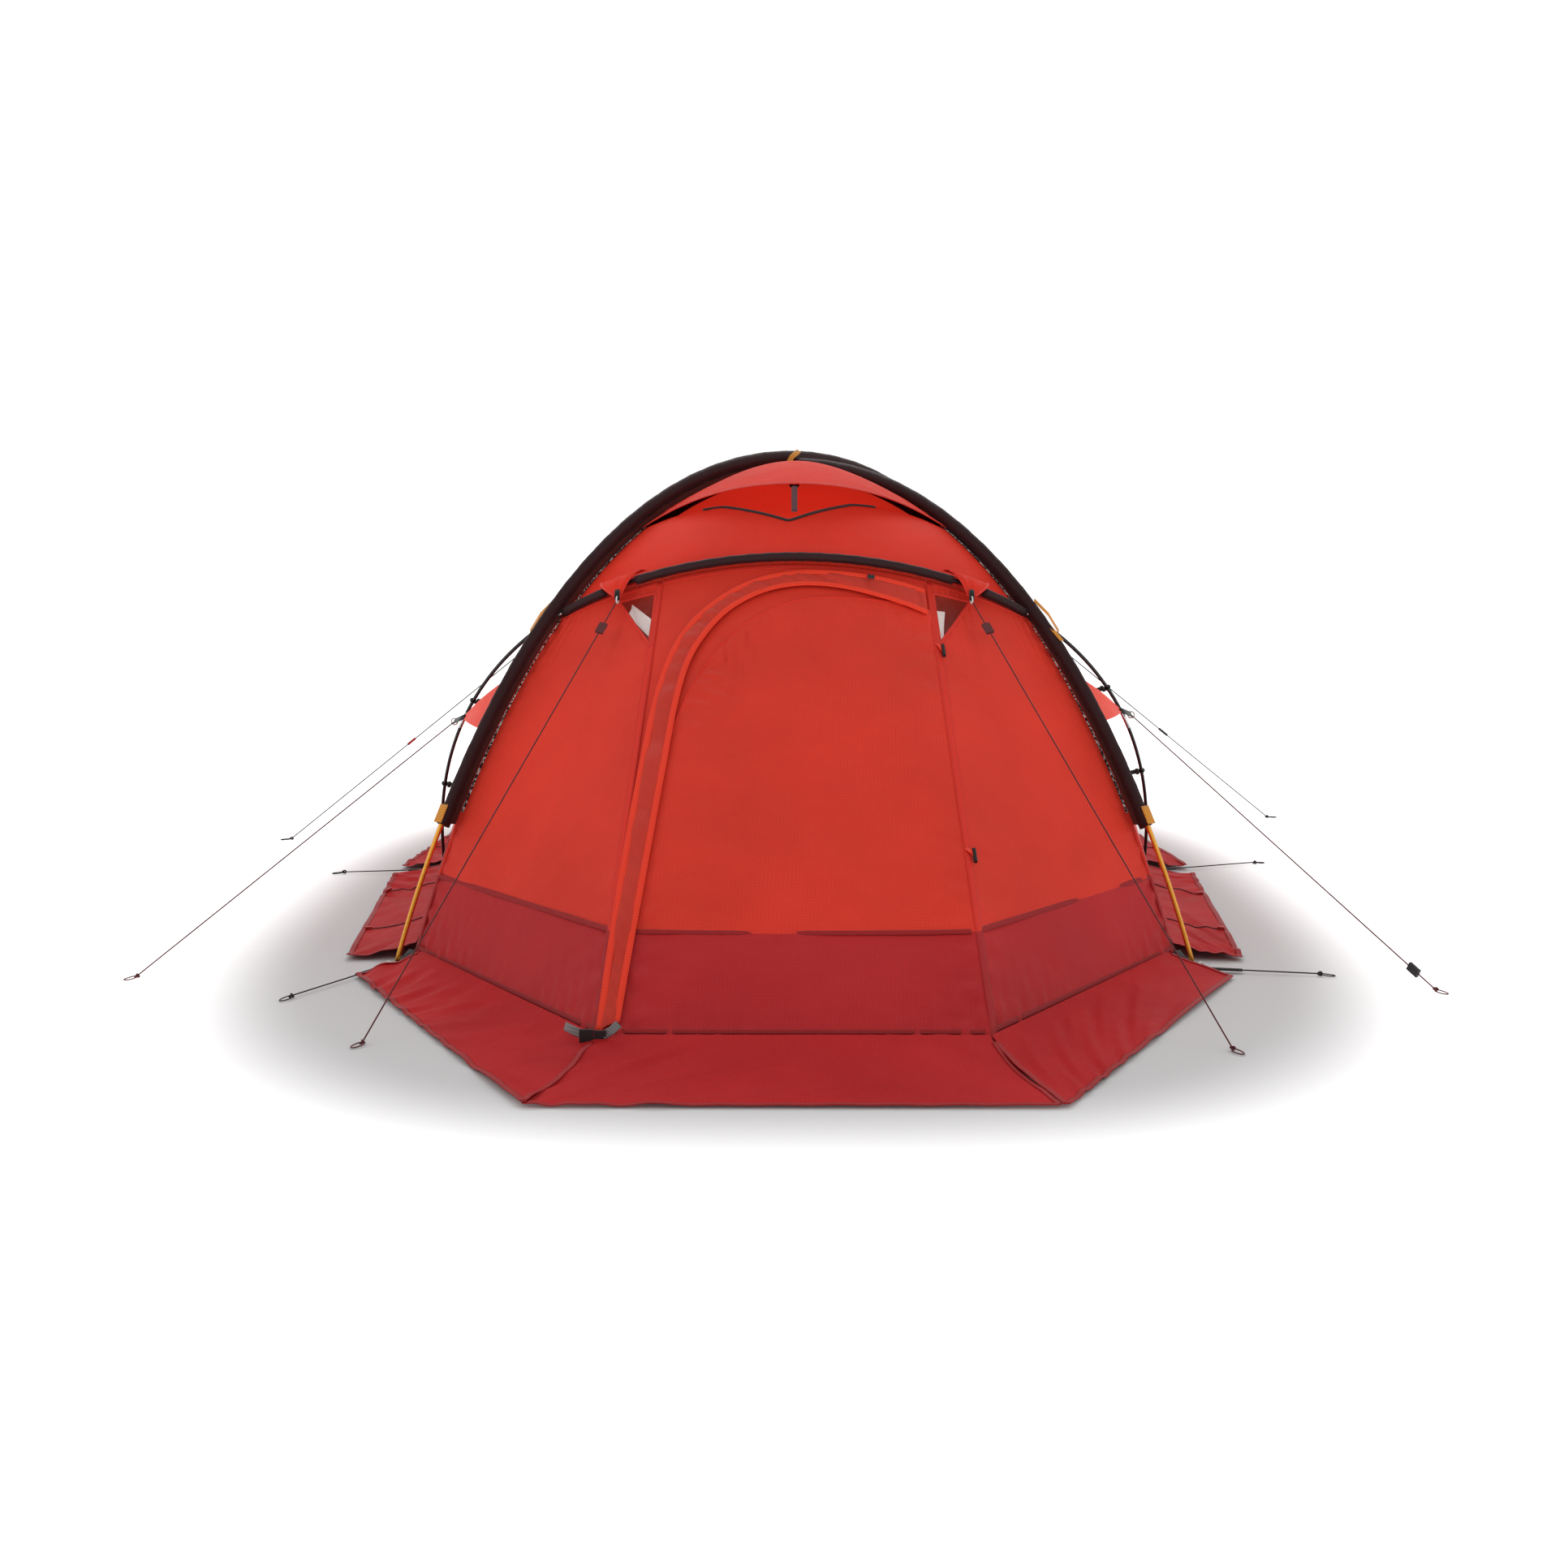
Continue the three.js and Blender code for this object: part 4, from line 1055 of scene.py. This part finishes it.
# the strut sits in a narrow cloth sleeve
prop_low, prop_high = np.array((0, -0.637, 0.990)), np.array((0, -0.6085, 1.046))
prop_path = prop_low + (prop_high - prop_low) * np.linspace(0, 1, 14)[:, None]
prop_girth = 1 + 0.06 * np.sin(np.arange(14) * 2.1)
prop_sleeve = tube("vent_prop_sleeve", prop_path, 0.0072, prop_cloth, 16, (0, 1, 0.2), prop_girth, 0.7)
ride(prop_sleeve, "prop", ["vent_prop"])

# ------------------------------------------------------------------ door, surround and flap


def rounded(u, v):
    """Pulls the unit square's top left corner in, so that its outline is a rounded arch."""
    a, b = 1 - np.asarray(u, float), np.asarray(v, float)
    reach = np.maximum(np.maximum(a, b), 1e-6)
    size = np.maximum((np.abs(a) ** SHARPNESS + np.abs(b) ** SHARPNESS) ** (1 / SHARPNESS), 1e-6)
    return 1 - a * reach / size, b * reach / size


def door(u, v):
    u, v = np.broadcast_arrays(np.asarray(u, float), np.asarray(v, float))
    pulled_u, pulled_v = rounded(u, v)
    return front(DOOR_LEFT + (1 - DOOR_LEFT) * pulled_u, pulled_v * DOOR_TOP)


def zip_line(along, out):
    """along is 0 at the bottom left and 1 at the top right. out is 0 at the zip, 1 at the facet's edge."""
    along, out = np.broadcast_arrays(np.asarray(along, float), np.asarray(out, float))
    u = np.where(along < 0.5, 0.0, (along - 0.5) * 2)
    v = np.where(along < 0.5, along * 2, 1.0)
    door_u, door_v = rounded(u, v)
    inner_u, inner_v = DOOR_LEFT + (1 - DOOR_LEFT) * door_u, door_v * DOOR_TOP
    return front(inner_u + (u - inner_u) * out, inner_v + (v - inner_v) * out)


ridge_along = unit(ridge_right - corner_right)
FACET_NORMAL = normals_of(front, 0.5, 0.5)
ridge_inward = np.cross(FACET_NORMAL, ridge_along)
ridge_inward = ridge_inward * np.sign(-ridge_inward[0])

door_piece = cloth_panel("door_cloth", lifted(door, DOOR_LIFT), shell, 130, 130, wrinkle=0.004)
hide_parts("door_panel")
declare_sheet(door_piece)
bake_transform(door_piece)

surround = cloth_panel("door_surround_cloth", zip_line, shell, 220, 12, v=(-0.15, 1.0))
ride(surround, "tent", ["door_surround"])
declare_sheet(surround)


def eased(points, count):
    """A smooth path through points, by their number."""
    points = np.asarray(points, float)
    where = np.linspace(0, len(points) - 1, count)
    i = np.clip(where.astype(int), 0, len(points) - 2)
    t = (where - i)[:, None]
    padded = np.concatenate((2 * points[:1] - points[1:2], points, 2 * points[-1:] - points[-2:-1]))
    p0, p1, p2, p3 = (padded[i + k] for k in range(4))
    bent = (p2 - p0) * t + (2 * p0 - 5 * p1 + 4 * p2 - p3) * t**2 + (3 * p1 - p0 - 3 * p2 + p3) * t**3
    return p1 + bent / 2


# The flap's two edges as places on the front facet: up beside the left ridge, then over to the right.
FLAP_OUTER = (
    (0.0, 0.03), (0.0, 0.2), (0.006, 0.4), (0.016, 0.55), (0.031, 0.69), (0.06, 0.79), (0.105, 0.857), (
        0.175, 0.905
    ),
    (0.26, 0.94), (0.36, 0.962), (0.475, 0.973), (0.6, 0.978), (0.8, 0.978), (0.93, 0.972), (0.985, 0.967),
)
FLAP_INNER = (
    (0.047, 0.045), (0.058, 0.2), (0.075, 0.4), (0.088, 0.55), (0.102, 0.69), (0.127, 0.78), (0.175, 0.842), (
        0.238, 0.888
    ),
    (0.32, 0.918), (0.415, 0.936), (0.55, 0.945), (0.7, 0.942), (0.84, 0.928), (0.93, 0.916), (
        0.985, 0.906
    ),
)
FLAP_STEPS = 260
outer_edge, inner_edge = eased(FLAP_OUTER, FLAP_STEPS), eased(FLAP_INNER, FLAP_STEPS)


def flap_rows(out, rise):
    """A line along the flap. out is 0 at its inner edge and 1 at its outer edge."""
    place = inner_edge + (outer_edge - inner_edge) * out
    return front(place[:, 0], place[:, 1]) + FACET_NORMAL * np.asarray(rise)[..., None]


step = np.linspace(0, 1, FLAP_STEPS)
shallow = 0.0016 * (np.sin(95 * step) + np.sin(61 * step + 2) + 0.7 * np.sin(173 * step + 1))
flap_lines = []
for out in np.linspace(0, 1, 15):
    hump = math.sin(math.pi * out)
    flap_lines.append(
        flap_rows(
            out, 0.0085 + 0.003 * hump + shallow * hump + 0.001 * hump * np.sin(40 * out + 210 * step)
        )
    )
flap_piece = grid_piece("door_flap_cloth", np.stack(flap_lines), flap_cloth)
ride(flap_piece, "door", ["door_flap"])
declare_sheet(flap_piece)
for tag, out in (("outer", 0.94), ("inner", 0.06)):
    path = flap_rows(out, np.full(FLAP_STEPS, 0.0092))
    pieces = [strip(f"flap_bound_{tag}", path, FACET_NORMAL, 0.013, bright_edge, 0.0018, 0.0008, -0.0004)]
    for i, place in enumerate((-0.0035, 0.0035)):
        pieces.append(
            stitches(f"flap_stitch_{tag}_{i}", path, FACET_NORMAL, place, thread, 0.007, 0.0006, 0.002)
        )
    ride(join(f"flap_binding_{tag}", pieces), "door")
zip_path = zip_line(np.linspace(0.01, 0.97, 200), np.zeros(200))
ride(
    strip("zip_edge", zip_path, FACET_NORMAL, 0.006, hem_tape, 0.0008, 0.0004, 0.001), "tent",
)

# ------------------------------------------------------------------ seams


def level_path(surface, height, u0, u1, count=90, top=0.7):
    """Where a surface reaches a height, for u between u0 and u1."""
    us, vs = np.linspace(u0, u1, count), np.linspace(0, top, 500)
    heights = surface(us[:, None], vs[None, :])[..., 2]
    return us, np.array([np.interp(height, row, vs) for row in heights])


def seam(name, surface, us, vs, width, material, body="tent", sewn=thread, bulge=0.0006, offset=0.0006):
    """A tape on a surface with a row of stitches near each of its edges."""
    points, up = surface(us, vs), normals_of(surface, us, vs)
    pieces = [strip(name + "_tape", points, up, width, material, 0.0009, bulge, offset)]
    for i, s in enumerate((-0.32, 0.32)):
        pieces.append(
            stitches(
                f"{name}_sewn_{i}", points, up, s * width, sewn, 0.007, 0.0006,
                offset + 0.0012 + bulge * 0.7
            )
        )
    return ride(join(name, pieces), body)


LEVELS = {
    "side_front_left": side_left,
    "side_front_right": mirror_x(side_left),
    "side_rear_left": mirror_y(side_left),
    "side_rear_right": mirror_x(mirror_y(side_left)),
    "rear_wall": rear_wall,
    "vestibule_left": vestibule_left,
    "vestibule_right": vestibule_right,
}
for name, surface in LEVELS.items():
    for kind, height, width in (("band", BAND_HEIGHT, 0.011), ("skirt", WALL_SEAM, 0.010)):
        us, vs = level_path(surface, height, 0.002, 0.998)
        seam(f"{name}_{kind}_seam", surface, us, vs, width, band_tape, sewn=thread_dark)
door_face = lifted(front, DOOR_LIFT)
for name, height, width in (("band", BAND_HEIGHT, 0.011), ("skirt", WALL_SEAM, 0.010)):
    us, vs = level_path(door_face, height, 0.06, 0.985)
    seam(f"door_{name}_seam", door_face, us, vs, width, band_tape, "door", thread_dark)

# Seams that run up a panel, at a u, and across one, at a v: name, panel, place, width, bulge.
UP_LINE, ACROSS_LINE = np.linspace(0.004, 0.995, 160), np.linspace(0.003, 0.997, 120)
side_right = mirror_x(side_left)
for name, surface, u, width, bulge in (
    ("ridge_hem_right", vestibule_right, 0.012, 0.020, 0.001),
    ("ridge_hem_left", vestibule_left, 0.988, 0.018, 0.001),
    ("rib_seam_left", vestibule_left, 0.006, 0.012, 0.0006),
    ("rib_seam_right", vestibule_right, 0.994, 0.012, 0.0006),
    ("hoop_side_seam_left", side_left, 0.006, 0.014, 0.0006),
    ("hoop_side_seam_right", side_right, 0.994, 0.014, 0.0006),
    ("foot_side_seam_left", side_left, 0.994, 0.012, 0.0006),
    ("foot_side_seam_right", side_right, 0.006, 0.012, 0.0006),
):
    seam(name, surface, np.full(160, u), UP_LINE, width, hem_tape, bulge=bulge)
for name, surface, v, width in (
    ("hoop_seam_front", front, 0.995, 0.014),
    ("hoop_seam_left", vestibule_left, 0.995, 0.014),
    ("hoop_seam_right", vestibule_right, 0.995, 0.014),
    ("roof_hoop_seam", roof_front, 0.012, 0.016),
):
    seam(name, surface, ACROSS_LINE, np.full(120, v), width, hem_tape)
seam(
    "roof_v_edge", roof_lower, np.linspace(0.2, 0.77, 80), np.full(80, 0.985), 0.010, black_web,
    sewn=thread_dark, bulge=0.001
)
seam(
    "hood_edge_binding", hood_sheet, ACROSS_LINE, np.full(120, 0.012), 0.014, hem_tape, "hood", bulge=0.0015
)
for tag, panel, u in (("left", vestibule_left, 0.012), ("right", vestibule_right, 0.988)):
    for part, surface, reach in (("", panel, (0.42, 0.99)), ("roof_", roof_front, (0.0, 0.8))):
        rise = np.linspace(*reach, 120)
        points, up = surface(np.full(120, u), rise), normals_of(surface, u, rise)
        edge = strip(f"mesh_{part}edge_{tag}", points, up, 0.008, mottled, 0.0012, 0.0004, 0.0014)
        ride(edge, "tent")

# ------------------------------------------------------------------ windows


def window_piece(tag, surface, triangle):
    """A triangle of clear film with a hem along each side."""
    corners = [tuple(p) for p in triangle]
    n = 24
    s, t = np.meshgrid(np.linspace(0, 1, n), np.linspace(0, 1, n))
    (u0, v0), (u1, v1), (u2, v2) = corners
    us = u0 + (u1 - u0) * s + (u2 - u1) * s * t
    vs = v0 + (v1 - v0) * s + (v2 - v1) * s * t
    pane = grid_piece(f"window_{tag}_film", lifted(surface, 0.0008)(us, vs), film)
    ride(pane, "tent", [f"window_{tag}"])
    declare_sheet(pane)
    ends = corners + corners[:1]
    for i in range(3):
        (ua, va), (ub, vb) = ends[i], ends[i + 1]
        k = np.linspace(-0.02, 1.02, 50)
        seam(
            f"window_{tag}_hem_{i}", surface, ua + (ub - ua) * k, va + (vb - va) * k, 0.009, hem_tape,
            bulge=0.001, offset=0.001
        )


window_piece("left", vestibule_left, WINDOW)
window_piece("right", vestibule_right, MIRRORED_WINDOW)


def behind_window(tag, surface, corners, depth):
    """The inner cloth that hangs a little behind a window, in a lighter copy of its colour that also glows:
    painted light.
    """
    s, t = np.meshgrid(np.linspace(0, 1, 26), np.linspace(0, 1, 18))
    (ua, va), (ub, vb), (uc, vc), (ud, vd) = corners
    us = (ua * (1 - s) + ub * s) * (1 - t) + (uc * (1 - s) + ud * s) * t
    vs = (va * (1 - s) + vb * s) * (1 - t) + (vc * (1 - s) + vd * s) * t
    fold = 0.006 * np.sin(9 * s + 3 * t) * np.sin(math.pi * t)
    cloth_piece = grid_piece(
        f"window_{tag}_behind", lifted(surface, -depth)(us, vs) + fold[..., None] * (0.3, 1, 0.2),
        glowing_inner_cloth
    )
    ride(cloth_piece, "tent")
    declare_sheet(cloth_piece)


behind_window("left", vestibule_left, ((0.66, 0.955), (0.985, 0.86), (0.67, 0.985), (1.0, 0.905)), 0.03)
behind_window("right", vestibule_right, ((0.01, 0.83), (0.12, 0.87), (0.0, 0.95), (0.19, 0.955)), 0.03)

# ------------------------------------------------------------------ snow skirts

SKIRT = 0.142
GAP = 0.005


def skirt_grid(inner, outer, count=70, rows=18, phase=0.0):
    """A flap from a seam on the wall down to the ground and out to its own edge."""
    s = np.linspace(0, 1, rows)[:, None, None]
    k = np.linspace(0, 1, count)
    flat_inner, flat_outer = inner(k), outer(k)
    points = flat_inner[None] * (1 - s) + flat_outer[None] * s
    distance = np.linalg.norm((flat_outer - flat_inner)[:, :2], axis=1)[None] * s[..., 0]
    fall = WALL_SEAM * np.exp(-((distance / 0.075) ** 1.3))
    x, y = points[..., 0], points[..., 1]
    length = run_of(flat_inner)[None]
    # folds start at the seam and fan out towards the outer edge
    fan = length + 0.25 * s[..., 0] * np.sin(5 * length + phase)
    broad, sharp = np.sin(24 * fan + phase), np.sin(41 * fan + 1.7 * phase + 4 * s[..., 0])
    ripple = np.abs(broad) ** 1.6 + 0.6 * np.abs(sharp) ** 3
    fine = 0.5 + 0.5 * np.sin(61 * x - 47 * y + phase)
    wave = (0.0075 * ripple + 0.0015 * fine) * smooth(distance, 0.0, 0.09)
    points[..., 2] = 0.0022 + fall + wave * (0.75 + 0.25 * np.cos(9 * distance + 3 * length))
    return points


def skirt_piece(tag, inner, outer, body, start, end, other="tent", phase=0.0, node_name=None):
    """A skirt that bends at its seam, with its hem and end tapes, and drawcords on the side ones."""
    points = skirt_grid(inner, outer, 140, 26, phase)
    piece = grid_piece(f"skirt_{tag}_cloth", points, skirt_cloth)
    edge = points[-2] * 0.25 + points[-1] * 0.75
    declare_sheet(piece)
    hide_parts(node_name)
    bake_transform(piece)

    def follow(extra):
        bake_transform(extra)

    binding = join(
        f"skirt_{tag}_hem",
        [
            strip(f"skirt_{tag}_hem_tape", edge, (0, 0, 1), 0.012, band_tape, 0.0012, 0.0008, 0.0003),
            stitches(f"skirt_{tag}_hem_sewn", edge, (0, 0, 1), 0.0, thread_dark, 0.008, 0.0007, 0.0024),
        ],
    )
    ride(binding, body)
    for i, column in enumerate(
        (38, 100) if tag in ("left_front", "right_front", "left_rear", "right_rear") else ()
    ):
        over = points[2:, column] + (0, 0, 0.0016)
        away = over[-1] - over[-4]
        away = unit(away)
        beside = np.cross((0, 0, 1), away)
        drawcord = tube(f"skirt_{tag}_drawcord_{i}", over, 0.0012, cord_black, 8)
        lock = block(
            f"skirt_{tag}_lock_{i}", over[-3] + (0, 0, 0.003), (away, beside, (0, 0, 1)),
            (0.016, 0.008, 0.006), red_plastic
        )
        follow(join(f"skirt_{tag}_draw_{i}", [drawcord, lock]))
    for i, side in enumerate((points[2:, 0], points[2:, -1])):
        short = strip(f"skirt_{tag}_end_{i}", side, (0, 0, 1), 0.010, band_tape, 0.0012, 0.0006, 0.0003)
        follow(short)


def seam_frame(start, end):
    along = unit(end - start)
    return along, np.array((along[1], -along[0], 0))


def foot_of(side_x, side_y):
    return np.array((side_x * (MAIN_X - MAIN_INSET), side_y * (MAIN_Y - MAIN_INSET), 0))


def hoop_foot(side_x):
    return np.array((side_x * (HOOP_X - HOOP_INSET), 0.0, 0))


FOOT_GAP, HOOP_GAP = 0.048, 0.040
SIDES = {
    "left_front": (hoop_foot(-1), foot_of(-1, -1), HOOP_GAP, FOOT_GAP, side_left, 0),
    "right_front": (foot_of(1, -1), hoop_foot(1), FOOT_GAP, HOOP_GAP, mirror_x(side_left), 1),
    "right_rear": (hoop_foot(1), foot_of(1, 1), HOOP_GAP, FOOT_GAP, mirror_x(mirror_y(side_left)), 2),
    "left_rear": (foot_of(-1, 1), hoop_foot(-1), FOOT_GAP, HOOP_GAP, mirror_y(side_left), 3),
    "rear": (foot_of(1, 1), foot_of(-1, 1), FOOT_GAP, FOOT_GAP, rear_wall, 4),
}
for tag, (start, end, trim_start, trim_end, surface, phase) in SIDES.items():
    along, out = seam_frame(start, end)
    first, last = start + along * trim_start, end - along * trim_end
    inner = line(first - out * 0.004, last - out * 0.004)
    outer = line(first + out * (GAP + SKIRT), last + out * (GAP + SKIRT))
    skirt_piece(
        tag, inner, outer, tag + "_skirt", first + out * 0.004, first + out * 0.05, "tent", phase,
        "skirt_" + tag
    )

ground_corner = np.array((-CORNER_X, -CORNER_Y, 0))
along, out = seam_frame(foot_of(-1, -1), ground_corner)
first, last = foot_of(-1, -1) + along * FOOT_GAP, ground_corner - along * 0.001
far_corner = np.array((-0.4635, -2.061, 0))
FLIP = np.array((-1, 1, 1))
inner, outer = line(first - out * 0.004, last - out * 0.004), line(first + out * (GAP + SKIRT), far_corner)
bend = (first + out * 0.004, first + out * 0.05)
skirt_piece("front_left", inner, outer, "front_left_skirt", *bend, "tent", 5, "skirt_front_left")
mirrored_inner = line((last - out * 0.004) * FLIP, (first - out * 0.004) * FLIP)
mirrored_outer = line(far_corner * FLIP, (first + out * (GAP + SKIRT)) * FLIP)
mirrored_bend = (bend[0] * FLIP, bend[1] * FLIP)
skirt_piece(
    "front_right", mirrored_inner, mirrored_outer, "front_right_skirt", *mirrored_bend, "tent", 6,
    "skirt_front_right"
)
inner = line((-CORNER_X + 0.002, -CORNER_Y + 0.004, 0), (CORNER_X - 0.008, -CORNER_Y + 0.004, 0))
outer = line((-0.4615, -2.061, 0), (0.452, -2.061, 0))
front_bend = (np.array((0, -1.749, 0)), np.array((0, -1.795, 0)))
skirt_piece("front", inner, outer, "front_skirt", *front_bend, "door", 7, "skirt_front")

# ------------------------------------------------------------------ clips, webbing and hardware


def clip(tag, side_x, t):
    """A hook on the hoop pole, on a black strap from the fly, with a pale ring."""
    pole, skin = hoop_half(side_x, -1)(t), hoop_side(side_x, -1)(t)
    ahead = hoop_half(side_x, -1)(t + 0.01) - pole
    ahead = unit(ahead)
    outward = pole - skin
    outward = unit(outward)
    side = np.cross(ahead, outward)
    hook = ring_of(f"clip_{tag}_hook", pole, ahead, 0.0068, 0.0022, black_plastic)
    body = block(
        f"clip_{tag}_body", pole - outward * 0.011, (ahead, side, outward), (0.016, 0.010, 0.008),
        black_plastic
    )
    strap = strip(
        f"clip_{tag}_strap",
        np.array((skin - side * 0.012, skin * 0.6 + pole * 0.4, pole - outward * 0.012)),
        ahead, 0.014, black_web, 0.0015,
    )
    pale = ring_of(
        f"clip_{tag}_ring", skin + outward * 0.004 - side * 0.012, outward, 0.008, 0.0017, white_plastic
    )
    ride(join(f"clip_{tag}", [hook, body, strap, pale]), "tent")


for tag, side_x, t in (
    ("upper_left", -1, 0.283), ("upper_right", 1, 0.311), ("lower_left", -1, 0.134),
    ("lower_right", 1, 0.156)
):
    clip(tag, side_x, t)

# Where each side tab is sewn: the place on the vestibule panel of its upper and its lower corner.
SIDE_TABS = {"left": (-0.085, 0.795, -0.03, 0.64), "right": (1.05, 0.805, 1.03, 0.665)}
for side_x, tag in ((-1, "left"), (1, "right")):
    # amber tapes tie the hoop to the main sleeve, on both sides of their crossing
    pieces = []
    for i, (th, tm) in enumerate(((0.445, 0.535), (0.5, 0.468))):
        a, b = hoop_half(side_x, -1)(th), main_half(side_x, -1)(tm)
        out = unit(a)
        path = np.stack((a + out * 0.008, (a + b) / 2 + out * 0.016, b + out * 0.011))
        pieces.append(strip(f"crossing_{tag}_{i}", path, out, 0.012, amber_web, 0.0014))
    ride(join(f"crossing_tapes_{tag}", pieces), "tent")
    # webbing and a ring at the canopy's peak, where the front guy line starts
    start = np.array(guys[f"guy_front_{tag}"][0])
    out = np.array((side_x * 0.35, -0.75, 0.25))
    tab = strip(
        f"peak_{tag}_tab", np.stack((start + (0, 0.004, 0.024), start + (0, -0.001, 0.012), start)), out,
        0.012, black_web, 0.002
    )
    loop = ring_of(
        f"peak_{tag}_ring", start + (0, 0, 0.001), (side_x, 0.2, 0), 0.008, 0.0018, white_plastic
    )
    ride(join(f"peak_{tag}", [tab, loop]), "tent")
    # side guy tab: a red reinforcement triangle with black webbing
    surface = vestibule_left if side_x < 0 else vestibule_right
    begin = np.array(guys[f"guy_side_{tag}"][0])
    high_u, high_v, low_u, low_v = SIDE_TABS[tag]
    over = lifted(surface, 0.020)
    high, low = over(np.array(high_u), np.array(high_v)), over(np.array(low_u), np.array(low_v))
    tip = begin + (np.array((0, -0.03, 0.006)) + (high + low) / 2 - begin) * 0.3
    s, t = np.meshgrid(np.linspace(0, 1, 14), np.linspace(0, 1, 18))
    base = high + (low - high) * s[..., None]
    narrow = tip + (low - high) * (s[..., None] - 0.5) * 0.12
    bulge = (0.010 * np.sin(math.pi * t) + 0.002 * np.sin(9 * s) * t)[..., None] * np.array(
        (side_x * 0.5, -0.85, 0.1)
    )
    patch = grid_piece(f"side_tab_{tag}_patch", base + (narrow - base) * t[..., None] + bulge, bright_edge)
    ride(patch, "tent")
    declare_sheet(patch)
    tab = strip(
        f"side_tab_{tag}_web", np.stack((tip, (tip + begin) / 2, begin)), (side_x * 0.3, -0.8, 0.5), 0.016,
        black_web, 0.002
    )
    loop = ring_of(f"side_tab_{tag}_ring", begin, (0.2, 1, 0), 0.008, 0.0018, white_plastic)
    ride(join(f"side_tab_{tag}", [tab, loop]), "tent")
    # front foot: webbing under the pole's tip, and a ring
    foot = main_half(side_x, -1)(0.009) * (1, 1, 0)
    away = np.array((side_x * 0.63, -0.777, 0))
    steps, heights = (-0.045, -0.02, 0.004, 0.03), (0.03, 0.010, 0.004, 0.005)
    path = foot + np.outer(steps, away) + np.outer(heights, (0, 0, 1))
    web = strip(f"foot_{tag}_web", path, (0, 0, 1), 0.022, black_web, 0.0018)
    pale = ring_of(
        f"foot_{tag}_ring", foot + away * 0.028 + (0, 0, 0.009), (away[0], away[1], 0.8), 0.010, 0.002,
        white_plastic
    )
    ride(join(f"foot_{tag}", [web, pale]), "tent", [f"foot_strap_{tag}"])
    # hoop foot webbing
    foot = hoop_half(side_x, -1)(0.004) * (1, 1, 0)
    path = np.stack(
        (foot - (side_x * 0.03, 0, -0.02), foot + (0, 0, 0.006), foot + (side_x * 0.033, 0, 0.007))
    )
    web = strip(f"hoop_foot_{tag}_web", path, (0, 0, 1), 0.018, amber_web, 0.0018)
    ride(web, "tent")

# tie-back tapes on the right hem
for tag, v in (("upper", 0.82), ("lower", 0.36)):
    here, ahead = vestibule_right(np.array(0.035), np.array(v)), vestibule_right(
        np.array(0.035), np.array(v + 0.01)
    )
    out = normals_of(vestibule_right, 0.035, v)
    root = vestibule_right(np.array(0.0), np.array(v + 0.02))
    path = np.stack((root + out * 0.002, (root + here) / 2 + out * 0.006, here + out * 0.006))
    tape = strip(f"tieback_{tag}", path, out, 0.010, bright_edge, 0.0014)
    ride(tape, "tent")

# strap from the door's lower left corner to the buckle
buckle = np.array((-0.376, -1.755, 0.040))
BUCKLE_STRAPS = {
    "door": (((0.02, 0, 0), (0.036, 0.003, 0.008), (0.05, 0.008, 0.02)), (0, -0.9, 0.5), "door"),
    "wall": (((-0.012, 0, 0), (-0.04, 0.03, 0.003), (-0.055, 0.05, 0.004)), (-0.8, -0.6, 0.3), "tent"),
}
for tag, (steps, up, body) in BUCKLE_STRAPS.items():
    strap = strip(f"buckle_strap_{tag}", buckle + np.array(steps), up, 0.016, grey_web, 0.0016)
    ride(strap, body)

# ------------------------------------------------------------------ inner tent and floor

INNER = 0.945


def inner_wall(left, right):
    wall = coons(line(left(0.0), right(0.0)), line(left(1.0), right(1.0)), left, right)
    return lambda u, v: wall(u, v) * INNER + (0, 0, 0.006)


def inner_rib(side_x, side_y):
    return stretch(main_shell(side_x, side_y), 0.01, 0.985)


INNER_WALLS = {
    "inner_front": ((-1, -1), (1, -1)),
    "inner_right": ((1, -1), (1, 1)),
    "inner_rear": ((1, 1), (-1, 1)),
    "inner_left": ((-1, 1), (-1, -1)),
}
for name, (a, b) in INNER_WALLS.items():
    wall = cloth_panel(
        name + "_cloth", inner_wall(inner_rib(*a), inner_rib(*b)), inner_cloth, 50, 60, (0, 1), (0, 0.97),
        0.004
    )
    ride(wall, "tent", [name])
    declare_sheet(wall)
FLOOR_SHARE = 0.94
FLOOR_Y = FLOOR_SHARE * MAIN_Y
gy, gs = np.meshgrid(np.linspace(-FLOOR_Y, FLOOR_Y, 70), np.linspace(-1, 1, 60))
half = FLOOR_SHARE * (MAIN_X + (HOOP_X - MAIN_X) * (1 - np.abs(gy) / FLOOR_Y))
bathtub = 0.003 + 0.018 * smooth(np.maximum(np.abs(gs), np.abs(gy) / FLOOR_Y), 0.97, 1.0)
sheet_points = np.stack((gs * half, gy, bathtub + 0.0008 * np.sin(30 * gy) * np.sin(23 * gs)), axis=2)
groundsheet = grid_piece("groundsheet_cloth", sheet_points, floor_cloth)
ride(groundsheet, "tent", ["groundsheet"])
declare_sheet(groundsheet)

# ------------------------------------------------------------------ small CAD parts that stay

BLACK_PARTS = ("zip_slider", "buckle_socket", "buckle_tongue", "door_toggle_upper", "door_toggle_lower")
KEPT = dict.fromkeys(BLACK_PARTS + ("tensioner_side_right", "tensioner_rear_right"), black_plastic)
KEPT |= {
    "tensioner_rear_left": red_plastic, "tensioner_front_left": cord_red, "tensioner_front_right": cord_red
}
for name, material in KEPT.items():
    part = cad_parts[name]
    part.data.materials.clear()
    part.data.materials.append(material)
